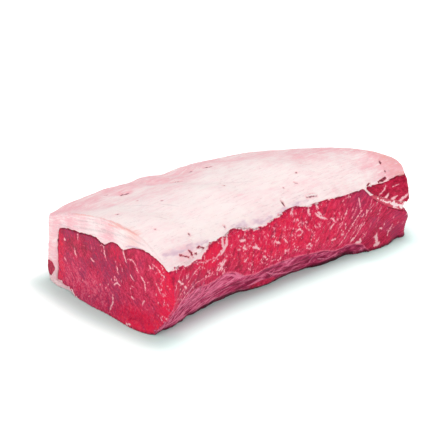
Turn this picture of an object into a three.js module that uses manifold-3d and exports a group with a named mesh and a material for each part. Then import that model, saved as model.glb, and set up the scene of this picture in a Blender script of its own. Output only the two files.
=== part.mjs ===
// A raw beef sirloin joint: the main muscle under a thick cap of fat that covers the top and the back,
// with the tip of the rump muscle let in at the far end and a strip of side muscle in the back fat.
// Millimetres. X runs along the joint from the near cut face to the far one, Y from the trimmed front
// side to the fat-covered back, and Z up from the board that it lies on. The origin is under the
// middle of the joint, on the board.
import * as THREE from "three";
import { mergeVertices } from "three/addons/utils/BufferGeometryUtils.js";
import Module from "manifold-3d";

const wasm = await Module();
wasm.setup();

// ---- Driving dimensions -------------------------------------------------------------------------
const LENGTH = 299; // from the near cut face to the far one, along the front
const GAP = 0.3; // clearance between muscle and fat

// The near cut face: it runs back from the front side, and its foot slumps outwards.
const NEAR_FACE_START = -2;
const NEAR_FACE_SLANT = 0.1; // for each millimetre across
const FOOT_SLUMP = 7;
const SLUMP_HEIGHT = 28;
const SLUMP_MIDDLE = 63; // across the joint
const SLUMP_HALF_WIDTH = 54;

// The far cut face: bowed in plan, with a nick where the seam under the rump muscle has come apart,
// and drawn in at its front foot.
const FAR_FACE_BOW = 10;
const FAR_FACE_MIDDLE = 45; // where across the joint it stands out most
const FAR_FACE_SHARE = 0.07; // the share of the length that the face's own relief fades out over
const NICK_DEPTH = 9;
const NICK_HEIGHT = 28.5;
const NICK_HALF_HEIGHT = 3.5;
const NICK_REACH = 32; // how far across the joint the nick runs
const FAR_FOOT_TUCK = 6;
const TUCK_HEIGHT = 20;
const TUCK_REACH = 50; // how far across the joint the foot is drawn in

const BACK_LEAN = 6; // how far the back's foot stands out beyond its top edge
const FOOT_ROUND = 5; // size of the rounding where the sides meet the board

// The fat: its thickness at the front edge, at the back edge, and what the crown adds.
const FRONT_FAT = 6.5;
const BACK_FAT = 16;
const CROWN_FAT = 9.5;
const CROWN_FAT_SHARE = 0.46; // where it is thickest, as a share of the way from front to back
const CROWN_FAT_HALF_WIDTH = 0.23;
const UNDER_FAT = 3.5; // the thin tongue under the back edge
const UNDER_FAT_WIDTH = 38;
const EDGE_RUN = 7.5; // how far in behind its lower edge the cap reaches its thickness
const EDGE_RISE = 5; // how far the lean rises over that run
const CORNER_RUN = 3.5; // size of the corner between the lean's top and its back

// The seam of fat under the rump muscle: where it leaves the cap, and how it climbs across the joint.
const SEAM_START = 222;
const SEAM_CLIMB = 30;
const SEAM_REACH = 72;

// The strip of side muscle in the back fat.
const STRIP_OFFSET = 3.4; // from the back's top edge, outwards
const STRIP_HEIGHT = 10.2;
const STRIP_HALF_WIDTH = 7.1;
const STRIP_HALF_HEIGHT = 6.8;
const STRIP_END = 215;
const STRIP_TAPER = 70;
const STRIP_DIVE = 9; // how far its tip dives into the fat

// How finely the forms are divided.
const JOINT_STATIONS = 38;
const JOINT_SAMPLES = 3; // points for each control point round the joint
const MUSCLE_STATIONS = 33;
const SEAM_STATIONS = 18;
const STRIP_STATIONS = 12;
const MUSCLE_SAMPLES = 2;
const TOP_SHARES = [0, 0.08, 0.25, 0.5, 0.75, 0.93, 1]; // where the top is set, from front to back
const LEAN_TOP_SHARES = [0.13, 0.21, 0.28, 0.34, 0.4, 0.465, 0.53, 0.6, 0.7, 0.8, 0.89, 1];
const CAP_RINGS = 4;
const OVERRUN = 24; // how far a muscle's form is run out past the cut faces before it is trimmed
const SKY = 160; // a height well above the joint

// ---- Helpers ------------------------------------------------------------------------------------
const mix = (a, b, t) => a + (b - a) * t;
const clamp01 = (t) => Math.min(1, Math.max(0, t));
const smooth = (t) => clamp01(t) ** 2 * (3 - 2 * clamp01(t));
const hump = (t, middle, width) => Math.exp(-(((t - middle) / width) ** 2));

/** A smooth function of distance along the joint, through a few [distance, value] pairs. */
function along(...pairs) {
  const last = pairs.length - 1;
  const slope = (i) => {
    const a = pairs[Math.max(0, i - 1)];
    const b = pairs[Math.min(last, i + 1)];
    return (b[1] - a[1]) / (b[0] - a[0]);
  };
  return (x) => {
    if (x <= pairs[0][0]) return pairs[0][1];
    if (x >= pairs[last][0]) return pairs[last][1];
    const i = pairs.findIndex(([at]) => at > x) - 1;
    const [x0, y0] = pairs[i];
    const [x1, y1] = pairs[i + 1];
    const span = x1 - x0;
    const t = (x - x0) / span;
    const rise = t * t * (3 - 2 * t);
    const leave = t * (1 - t) ** 2 * span * slope(i);
    const arrive = t * t * (t - 1) * span * slope(i + 1);
    return mix(y0, y1, rise) + leave + arrive;
  };
}

/** A closed loop of [y, z] points on a smooth curve through control points, none below the floor. */
function loop(controls, samples, floor = -Infinity) {
  const curve = new THREE.CatmullRomCurve3(
    controls.map(([y, z]) => new THREE.Vector3(y, z, 0)),
    true,
    "centripetal",
  );
  const points = curve.getPoints(controls.length * samples);
  points.pop(); // the last point repeats the first
  return points.map(({ x, y }) => [x, Math.max(floor, y)]);
}

/** A closed mesh through equal loops of [y, z] points, with rings of points filling both ends.
 *  place(share, y, z) puts a point of the loop at that share of the length in space. */
function loft(sectionAt, stations, place) {
  const positions = [];
  const indices = [];
  const rings = [];
  const addRing = (share, points) => {
    rings.push(positions.length / 3);
    for (const [y, z] of points) positions.push(...place(share, y, z));
  };
  const centreOf = (points) =>
    [0, 1].map((k) => points.reduce((sum, p) => sum + p[k], 0) / points.length);
  const shrink = (points, centre, k) =>
    points.map(([y, z]) => [mix(centre[0], y, k), mix(centre[1], z, k)]);

  const first = sectionAt(0);
  const last = sectionAt(1);
  const firstCentre = centreOf(first);
  const lastCentre = centreOf(last);
  for (let k = 1; k < CAP_RINGS; k++) addRing(0, shrink(first, firstCentre, k / CAP_RINGS));
  for (let i = 0; i <= stations; i++) addRing(i / stations, sectionAt(i / stations));
  for (let k = CAP_RINGS - 1; k > 0; k--) addRing(1, shrink(last, lastCentre, k / CAP_RINGS));

  const around = first.length;
  for (let r = 0; r + 1 < rings.length; r++)
    for (let i = 0; i < around; i++) {
      const j = (i + 1) % around;
      const [a, b, c, d] = [rings[r] + i, rings[r] + j, rings[r + 1] + j, rings[r + 1] + i];
      indices.push(a, c, b, a, d, c);
    }
  for (const [share, centre, ring, isFirst] of [
    [0, firstCentre, rings[0], true],
    [1, lastCentre, rings.at(-1), false],
  ]) {
    const middle = positions.length / 3;
    positions.push(...place(share, ...centre));
    for (let i = 0; i < around; i++) {
      const j = (i + 1) % around;
      if (isFirst) indices.push(middle, ring + i, ring + j);
      else indices.push(middle, ring + j, ring + i);
    }
  }
  const geometry = new THREE.BufferGeometry();
  geometry.setAttribute("position", new THREE.Float32BufferAttribute(positions, 3));
  geometry.setIndex(indices);
  return geometry;
}

/** The solid of a closed geometry. */
function solidOf(geometry) {
  const merged = mergeVertices(geometry, 1e-4);
  return new wasm.Manifold(
    new wasm.Mesh({
      numProp: 3,
      vertProperties: merged.attributes.position.array,
      triVerts: new Uint32Array(merged.index.array),
    }),
  );
}

/** The named mesh of a solid. */
function meshOf(name, solid, material) {
  const { vertProperties, triVerts } = solid.getMesh();
  const geometry = new THREE.BufferGeometry();
  geometry.setAttribute("position", new THREE.BufferAttribute(vertProperties, 3));
  geometry.setIndex(new THREE.BufferAttribute(triVerts, 1));
  const mesh = new THREE.Mesh(geometry, material);
  mesh.name = name;
  return mesh;
}

// ---- The joint's outer form ---------------------------------------------------------------------
// Front side: where it leaves the board, its widest line, and the shoulder where the cap rolls over.
const footY = along([0, 2], [43, 8], [90, 12], [121, 6], [150, 8], [225, 2], [250, -7], [275, -5], [290, -1]);
const bellyY = along([0, -25], [20, -16], [50, -9], [85, -6], [200, -6], [299, -7]);
const bellyZ = along([0, 38], [30, 37], [65, 32], [97, 22], [130, 23], [180, 18], [270, 17], [299, 22]);
const shoulderY = along([0, -5], [20, -3], [45, 1], [80, 6], [150, 9], [220, 5], [299, 6]);
const shoulderZ = along([0, 68], [20, 69], [90, 70], [140, 71], [220, 67], [299, 61]);
// Back side: its top edge, which swings in towards the far end.
const backY = along(
  [0, 130], [30, 132], [100, 134], [170, 137], [220, 130], [255, 112], [280, 93], [299, 75],
);
const backZ = along([0, 63.5], [22, 65.5], [60, 64], [190, 65], [235, 62.5], [270, 55], [299, 47]);
// How far the top domes above the line from the shoulder to the back edge.
const domeRise = along([0, 14.5], [60, 13], [180, 13.2], [235, 15], [275, 14], [299, 8]);

// Low swells of the top: [length of the wave along the joint, across it, height, phase].
const SWELLS = [
  [92, 210, 1.1, 0.4],
  [41, 96, 0.6, 2.1],
  [27, 64, 0.3, 4.2],
];

/** How far the top swells or sinks at a place. */
function swell(x, y) {
  return SWELLS.reduce(
    (sum, [lengthwise, across, height, phase]) =>
      sum + height * Math.sin((2 * Math.PI * x) / lengthwise + (2 * Math.PI * y) / across + phase),
    0,
  );
}

/** The point of the top at a share of the way from the shoulder to the back edge. */
function topPoint(x, share) {
  const y = mix(shoulderY(x), backY(x), share);
  const dome = domeRise(x) * Math.sin(Math.PI * share ** 0.7);
  return [y, mix(shoulderZ(x), backZ(x), share) + dome + swell(x, y) * smooth(share * 5)];
}

/** A point of the front side between its widest line and the shoulder. */
function flank(x) {
  return [mix(bellyY(x), shoulderY(x), 0.3), mix(bellyZ(x), shoulderZ(x), 0.62)];
}

/** Where the front side stands at a height near the shoulder. */
function sideY(x, z) {
  const [y, low] = flank(x);
  return mix(y, shoulderY(x), (z - low) / (shoulderZ(x) - low));
}

/** The points that the joint's section passes through, from the front foot over the top. */
function jointControls(x) {
  const foot = footY(x);
  const belly = [bellyY(x), bellyZ(x)];
  const back = backY(x);
  return [
    [foot, 0],
    [mix(foot, belly[0], 0.3), FOOT_ROUND],
    [mix(foot, belly[0], 0.8), mix(FOOT_ROUND, belly[1], 0.55)],
    belly,
    flank(x),
    ...TOP_SHARES.map((share) => topPoint(x, share)),
    [back + BACK_LEAN * 0.6, backZ(x) * 0.55],
    [back + BACK_LEAN, FOOT_ROUND * 2],
    [back + BACK_LEAN - 3, FOOT_ROUND * 0.5],
    [back + BACK_LEAN - 10, 0],
    [mix(foot, back, 0.5), 0],
    [foot + 6, 0],
  ];
}

/** Puts a point of the joint's section in space, between the near face and the far one. */
function place(share, y, z) {
  const slump = FOOT_SLUMP * hump(y, SLUMP_MIDDLE, SLUMP_HALF_WIDTH) * clamp01(1 - z / SLUMP_HEIGHT) ** 2;
  const near = NEAR_FACE_START - NEAR_FACE_SLANT * y - slump;
  const nick = NICK_DEPTH * hump(z, NICK_HEIGHT, NICK_HALF_HEIGHT) * (1 - smooth((y - 10) / NICK_REACH));
  const far = LENGTH - FAR_FACE_BOW * ((y - FAR_FACE_MIDDLE) / FAR_FACE_MIDDLE) ** 2;
  const tuck = FAR_FOOT_TUCK * smooth(1 - z / TUCK_HEIGHT) * (1 - smooth(y / TUCK_REACH));
  const atFarFace = smooth((share - 1 + FAR_FACE_SHARE) / FAR_FACE_SHARE);
  return [mix(near, far, share) - (nick + tuck) * atFarFace, y, z];
}

// ---- The lean inside the fat ----------------------------------------------------------------------
// The lower edge of the cap on the front side, scalloped by the knife.
const capEdgeZ = along(
  [0, 57.5], [12, 57.5], [24, 56], [35, 55], [43, 59], [55, 61], [66, 60.5], [80, 64], [93, 61.7],
  [106, 57.2], [116, 57.8], [126, 60], [135, 61], [146, 63.7], [156, 62.4], [166, 59.8], [183, 60.6],
  [198, 59.4], [225, 58.2], [247, 58.2], [258, 56.8], [278, 57.5], [299, 56],
);
// Dips in the muscle's top, between its bundles, which the fat fills: [across, depth, half width].
const DIPS = [
  [26, 3.8, 14],
  [35.5, 5, 6],
  [58.5, 4.1, 4],
  [94, 2, 3],
];
// The middle of the seam on the front side, and its thickness.
const seamZ = along(
  [SEAM_START, 82], [231, 66], [237, 57], [245, 49], [252, 45], [266, 37.8], [280, 32], [310, 28],
);
const seamThickness = along([SEAM_START, 2], [250, 5], [262, 8], [278, 9], [299, 8]);

// How far the lean stays in from the back edge, more where the back swings in towards the far end.
const sideFat = along(
  [0, 10], [181, 10], [201, 13], [217, 16], [233, 17.5], [249, 17], [265, 15], [281, 12], [299, 10],
);

/** Thickness of the cap at a share of the way from the shoulder to the back edge. */
function capThickness(share) {
  return mix(FRONT_FAT, BACK_FAT, share) + CROWN_FAT * hump(share, CROWN_FAT_SHARE, CROWN_FAT_HALF_WIDTH);
}

/** The point of the lean's top under a place of the cap. */
function underCap(x, share, grow) {
  const [y, z] = topPoint(x, share);
  const dip = DIPS.reduce((sum, [at, depth, width]) => sum + depth * hump(y, at, width), 0);
  return [y, z - capThickness(share) - dip + grow];
}

/** The section of all the lean under the cap, run out past the joint where its own skin bounds it. */
function leanControls(x, grow) {
  const outside = bellyY(x) - OVERRUN;
  const wall = backY(x) - sideFat(x);
  const inside = wall + grow;
  const reach = (wall - CORNER_RUN - shoulderY(x)) / (backY(x) - shoulderY(x));
  const under = UNDER_FAT - grow;
  const edge = capEdgeZ(x) + grow;
  const side = sideY(x, edge);
  return [
    [outside, edge],
    [side, edge],
    [side + EDGE_RUN, edge + EDGE_RISE],
    ...LEAN_TOP_SHARES.map((share) => underCap(x, share * reach, grow)),
    [inside - 1, backZ(x) - BACK_FAT - 1 + grow],
    [inside + 1, backZ(x) * 0.45],
    [inside + 1, under + 9],
    [inside - 1, under + 1],
    [inside - UNDER_FAT_WIDTH * 0.5, under],
    [inside - UNDER_FAT_WIDTH, -6],
    [inside - UNDER_FAT_WIDTH - 10, -OVERRUN],
    [outside, -OVERRUN],
  ];
}

/** The section of all that lies over the seam, from a share of the seam's thickness above its middle.
 *  The seam climbs across the joint until it meets the cap. */
function overSeamControls(x, [share, lift]) {
  const bottom = (y) =>
    seamZ(x) + share * seamThickness(x) + lift + SEAM_CLIMB * clamp01(y / SEAM_REACH) ** 2;
  const across = [120, 95, 75, 60, 45, 30, 15, 0, -20, -60];
  return [[-60, SKY], [120, SKY], ...across.map((y) => [y, bottom(y)])];
}

/** The section of the side muscle, which dwindles to nothing inside the back fat. */
function stripControls(x, grow) {
  const size = Math.max(0.1, Math.sqrt(clamp01((STRIP_END - x) / STRIP_TAPER)));
  const sides = 8;
  return Array.from({ length: sides }, (_, i) => {
    const turn = (-2 * Math.PI * i) / sides;
    const middle = backY(x) + STRIP_OFFSET - STRIP_DIVE * (1 - size);
    return [
      middle + (STRIP_HALF_WIDTH * size + grow) * Math.cos(turn),
      STRIP_HEIGHT + (STRIP_HALF_HEIGHT * size + grow) * Math.sin(turn),
    ];
  });
}

/** The solid that a section sweeps from one place along the joint to another. */
function sweep(controls, from, to, stations, grow) {
  const section = (share) => loop(controls(mix(from, to, share), grow), MUSCLE_SAMPLES);
  return solidOf(loft(section, stations, (share, y, z) => [mix(from, to, share), y, z]));
}

const allLean = (grow) => sweep(leanControls, -OVERRUN, LENGTH + OVERRUN, MUSCLE_STATIONS, grow);
const overSeam = (share, lift) =>
  sweep(overSeamControls, SEAM_START, LENGTH + 2 * OVERRUN, SEAM_STATIONS, [share, lift]);
// Each muscle with a little growth all round, so that the fat can be cut clear of it.
const mainMuscle = (grow) => allLean(grow).subtract(overSeam(-0.5, grow));
const rumpMuscle = (grow) => allLean(grow).intersect(overSeam(0.5, -grow));
const sideMuscle = (grow) => sweep(stripControls, -OVERRUN, STRIP_END, STRIP_STATIONS, grow);
const muscles = [mainMuscle, rumpMuscle, sideMuscle];

const joint = solidOf(
  loft((share) => loop(jointControls(share * LENGTH), JOINT_SAMPLES, 0), JOINT_STATIONS, place),
);
const [eye, rump, side] = muscles.map((muscle) => joint.intersect(muscle(0)));
const cap = muscles.reduce((fat, muscle) => fat.subtract(muscle(GAP)), joint);

// ---- Assembly -----------------------------------------------------------------------------------
const paleFat = new THREE.MeshStandardMaterial({ color: "#f8dfdc", roughness: 0.5, metalness: 0 });
const brightLean = new THREE.MeshStandardMaterial({ color: "#bf2345", roughness: 0.4, metalness: 0 });
const darkLean = new THREE.MeshStandardMaterial({ color: "#a01a3c", roughness: 0.4, metalness: 0 });

const sirloin = new THREE.Group();
sirloin.add(
  meshOf("fat_cap", cap, paleFat),
  meshOf("lean_eye", eye, brightLean),
  meshOf("end_muscle", rump, darkLean),
  meshOf("side_muscle", side, darkLean),
);
const middle = new THREE.Box3().setFromObject(sirloin).getCenter(new THREE.Vector3());
sirloin.position.set(-middle.x, -middle.y, 0);

export default sirloin;
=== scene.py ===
"""A whole raw sirloin joint of beef, dressed around its solid model.

Four pieces make the joint: the long eye of lean, the cap of fat that wraps its top and back, the short end
muscle let into the far end, and the thin side muscle that runs in the fat of the back. Each piece starts as
its own solid, gets a fine skin, the relief of cut meat or fat, painted marks, and a finish of shader nodes.

Sizes are in millimetres in the joint's own frame: x runs along it from the near cut face, y from the
trimmed front side to the fat-covered back, and z up from the board.
"""

import itertools
import logging
import math
from collections.abc import Iterable
from dataclasses import dataclass, field
from enum import Enum

import bmesh
import bpy
import numpy as np
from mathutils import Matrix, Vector
from mathutils.bvhtree import BVHTree
from mathutils.kdtree import KDTree


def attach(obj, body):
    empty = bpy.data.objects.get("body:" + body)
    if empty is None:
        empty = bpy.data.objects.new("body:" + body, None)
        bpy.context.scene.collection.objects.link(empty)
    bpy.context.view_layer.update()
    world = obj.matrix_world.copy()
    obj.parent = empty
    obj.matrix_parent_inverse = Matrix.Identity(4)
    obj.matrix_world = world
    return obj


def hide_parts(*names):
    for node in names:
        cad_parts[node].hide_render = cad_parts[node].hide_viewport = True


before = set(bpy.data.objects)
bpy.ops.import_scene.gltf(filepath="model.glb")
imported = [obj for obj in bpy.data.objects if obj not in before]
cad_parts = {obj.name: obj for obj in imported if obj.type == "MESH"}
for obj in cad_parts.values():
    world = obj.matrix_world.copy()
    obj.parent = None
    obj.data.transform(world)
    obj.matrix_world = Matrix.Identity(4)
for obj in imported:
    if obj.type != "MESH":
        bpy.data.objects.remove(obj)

log = logging.getLogger("sirloin")

MM = 0.001
ROOT_BODY = "root"
FAR_AWAY = 9.0  # mm, the value of a distance mark where nothing is near
STREAK_RANGE = 4.0  # mm round a streak's points within which its distance is worked out

Colour = tuple[float, float, float]
Triple = tuple[float, float, float]
Point = tuple[float, float]
Socket = bpy.types.NodeSocket


class Slot(Enum):
    """The material slots of the record."""

    FAT = "fat"
    LEAN = "lean"
    DARK_LEAN = "dark_lean"


class Face(Enum):
    """A side of the joint, and the two axes that its marks are laid out on."""

    CUT = (1, 2)
    LONG = (0, 2)
    TOP = (0, 1)

    def flat(self, points: np.ndarray) -> np.ndarray:
        """Gives the points' two coordinates on this face."""
        return points[:, list(self.value)]


# ---------------------------------------------------------------------------------------------------------
# Arithmetic on many points at once
# ---------------------------------------------------------------------------------------------------------


def eased(value: np.ndarray, low: np.ndarray | float, high: np.ndarray | float) -> np.ndarray:
    """Rises smoothly from 0 at low to 1 at high.

    Args:
        value: The numbers to ease.
        low: Where the rise starts.
        high: Where it ends. It may be less than low, for a fall.

    Returns:
        Numbers from 0 to 1, as many as were given.
    """
    share = np.clip((value - low) / (high - low), 0.0, 1.0)
    return share * share * (3.0 - 2.0 * share)


def bell(value: np.ndarray, middle: float, reach: float) -> np.ndarray:
    """Gives a smooth hump of height 1 at middle that is down to nothing at reach to either side."""
    return 1.0 - eased(np.abs(value - middle), 0.0, reach)


def humped(value: np.ndarray, base: float, humps: Iterable[Triple]) -> np.ndarray:
    """Adds humps to a level base.

    Args:
        value: Where along a line.
        base: The level.
        humps: The middle, reach and height of each hump.

    Returns:
        The heights.
    """
    total = np.full(len(value), base)
    for middle, reach, height in humps:
        total = total + height * bell(value, middle, reach)
    return total


# how each finer layer of the noise differs from the one before
LAYER_FADE = 0.5
LAYER_FINER = 2.03
LAYER_SHIFT = 7.1
LAYER_SEED = 101
# large numbers that turn a lattice corner's place and a seed into one that looks drawn
PLACE_MIX = (73856093, 19349663, 83492791)
SEED_MIX = 40503
LAST_MIX = 1274126177
LOW_BITS = 0x7FFFFFFF
SLOPES = 1024  # how many turns, and how many heights, a lattice corner's slope can have
NOISE_GAIN = 1.6  # brings the noise to about -1 to 1


@dataclass(frozen=True)
class Ripple:
    """Smooth noise in space, the same on every run.

    Attributes:
        seed: Which of the many like patterns this is.
        size: The length of a ripple along x, y and z, in mm.
        layers: How many ever finer patterns are summed.
    """

    seed: int
    size: Triple
    layers: int = 2

    def at(self, points: np.ndarray) -> np.ndarray:
        """Gives the noise at points.

        Args:
            points: Where, in mm.

        Returns:
            The noise, about -1 to 1.
        """
        total = np.zeros(len(points))
        share = 1.0
        scaled = points / np.array(self.size)
        for layer in range(self.layers):
            total += share * self._lattice(scaled, self.seed + LAYER_SEED * layer)
            share *= LAYER_FADE
            scaled = scaled * LAYER_FINER + LAYER_SHIFT
        return total

    @staticmethod
    def _lattice(points: np.ndarray, seed: int) -> np.ndarray:
        """Sums the slopes of the eight lattice corners round each point.

        Args:
            points: Where, in cells of the lattice.
            seed: Which lattice.

        Returns:
            One layer of the noise.
        """
        cell = np.floor(points).astype(np.int64)
        inner = points - cell
        ease = inner ** 3 * (inner * (inner * 6.0 - 15.0) + 10.0)
        total = np.zeros(len(points))
        for corner in itertools.product((0, 1), repeat=3):
            at = (cell + np.array(corner)) * np.array(PLACE_MIX)
            mixed = np.bitwise_xor.reduce(at, axis=1) ^ (seed * SEED_MIX)
            mixed = (mixed ^ (mixed >> 13)) * LAST_MIX & LOW_BITS
            turn = (mixed & (SLOPES - 1)) * (2.0 * math.pi / SLOPES)
            lift = 2.0 * ((mixed >> 10) & (SLOPES - 1)) / (SLOPES - 1) - 1.0
            ring = np.sqrt(1.0 - np.clip(lift, -1.0, 1.0) ** 2)
            slope = np.stack([ring * np.cos(turn), ring * np.sin(turn), lift], 1)
            weight = np.prod(np.where(np.array(corner) == 1, ease, 1.0 - ease), axis=1)
            total += weight * np.sum(slope * (inner - np.array(corner)), axis=1)
        return total * NOISE_GAIN


@dataclass(frozen=True)
class Streak:
    """A line of fat, a fleck or a slit, drawn on one face.

    Attributes:
        points: Where it runs on the face's two axes, in mm.
        width: Half its width in the middle, in mm.
        taper: How much of the width is lost at the ends, 0 to 1.
    """

    points: tuple[Point, ...]
    width: float
    taper: float = 0.7

    def distance(self, flat: np.ndarray) -> np.ndarray:
        """Measures how far points are from the streak's edge.

        Args:
            flat: Points on the face, in mm.

        Returns:
            The distances in mm, negative inside the streak.
        """
        nodes = np.array(self.points)
        if len(nodes) == 1:
            return np.hypot(*(flat - nodes[0]).T) - self.width
        steps = np.hypot(*np.diff(nodes, axis=0).T)
        starts = np.concatenate([[0.0], np.cumsum(steps)])
        best = np.full(len(flat), FAR_AWAY)
        for k, (a, b) in enumerate(zip(nodes[:-1], nodes[1:])):
            run = b - a
            along = np.clip(((flat - a) @ run) / (run @ run), 0.0, 1.0)
            gap = np.hypot(*(flat - a - along[:, None] * run).T)
            place = (starts[k] + along * steps[k]) / starts[-1]
            half = self.width * (1.0 - self.taper * (2.0 * place - 1.0) ** 2)
            best = np.minimum(best, gap - half)
        return best


def nearest_streak(flat: np.ndarray, streaks: Iterable[Streak]) -> np.ndarray:
    """Gives the distance from each point to the edge of the nearest streak.

    Args:
        flat: Points on a face, in mm.
        streaks: The streaks on that face.

    Returns:
        The distances, at most FAR_AWAY.
    """
    best = np.full(len(flat), FAR_AWAY)
    for streak in streaks:
        nodes = np.array(streak.points)
        low, high = nodes.min(0) - STREAK_RANGE, nodes.max(0) + STREAK_RANGE
        close = np.all((flat > low) & (flat < high), axis=1)
        if close.any():
            best[close] = np.minimum(best[close], streak.distance(flat[close]))
    return best


@dataclass(frozen=True)
class Scatter:
    """Many small flecks strewn over a rectangle of a face by a seeded draw.

    Attributes:
        seed: The seed of the draw.
        count: How many places flecks gather at.
        low: The rectangle's lowest corner on the face's axes, in mm.
        high: Its highest corner.
        length: The shortest and longest fleck, in mm.
        width: The least and greatest half-width, in mm.
        lean: The flecks' mean direction, in degrees from the face's first axis.
        spread: How far directions vary, in degrees.
        group: The most flecks at one place.
        stray: How far flecks that share a place lie from it, in mm.
        bow: How far a fleck bends, against half its length.
    """

    seed: int
    count: int
    low: Point
    high: Point
    length: Point
    width: Point
    lean: float
    spread: float
    group: int = 1
    stray: float = 1.5
    bow: float = 0.22

    def streaks(self) -> list[Streak]:
        """Draws the flecks.

        Returns:
            The flecks, the same on every run.
        """
        draw = np.random.default_rng(self.seed)
        flecks = []
        for _ in range(self.count):
            place = draw.uniform(self.low, self.high)
            for _ in range(draw.integers(1, self.group + 1)):
                middle = place + draw.normal(0.0, self.stray, 2) * (self.group > 1)
                angle = math.radians(draw.normal(self.lean, self.spread))
                half = 0.5 * draw.uniform(*self.length) * np.array([math.cos(angle), math.sin(angle)])
                bend = draw.normal(0.0, self.bow) * np.array([-half[1], half[0]])
                nodes = (middle - half, middle + bend, middle + half)
                line = tuple((float(x), float(y)) for x, y in nodes)
                flecks.append(Streak(line, float(draw.uniform(*self.width))))
        return flecks


def strewn(scatters: Iterable[Scatter]) -> list[Streak]:
    """Gives the flecks of several scatters in one list."""
    return [fleck for scatter in scatters for fleck in scatter.streaks()]


@dataclass(frozen=True)
class Patch:
    """A soft oval on one face.

    Attributes:
        middle: Where it lies on the face's two axes, in mm.
        reach: How far it goes along each axis, in mm.
    """

    middle: Point
    reach: Point

    def radius(self, a: np.ndarray, b: np.ndarray) -> np.ndarray:
        """Tells how far out the points at a and b on the two axes lie: 0 in the middle, 1 on the line."""
        return np.hypot((a - self.middle[0]) / self.reach[0], (b - self.middle[1]) / self.reach[1])

    def strength(self, a: np.ndarray, b: np.ndarray) -> np.ndarray:
        """Gives 1 in the middle and falls smoothly to 0 on the oval's line."""
        return bell(self.radius(a, b), 0.0, 1.0)


# ---------------------------------------------------------------------------------------------------------
# Fine skins made from the solids
# ---------------------------------------------------------------------------------------------------------

CRISP_ANGLE = math.radians(38.0)  # the least fold of a solid's edge that stays crisp
CRISP_PACE = 0.6 * MM  # from one point to the next along such an edge
WELD = 0.00001  # m within which the solid's points are one point
EDGE_SHARE = 0.06  # how far a point on a crisp edge goes towards its neighbours' mean in each round
OPEN_SHARE = 0.54  # how much further one clear of such edges goes
CLEAR = (0.8, 4.0)  # mm from a crisp edge where that starts, and where it is full
HIDDEN_PULL = 40.0  # how much sooner hidden points are merged than those that show


def tree_of(mesh: bpy.types.Mesh) -> BVHTree:
    """Gives a search tree over a mesh's faces."""
    return BVHTree.FromPolygons([v.co for v in mesh.vertices], [p.vertices for p in mesh.polygons])


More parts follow.
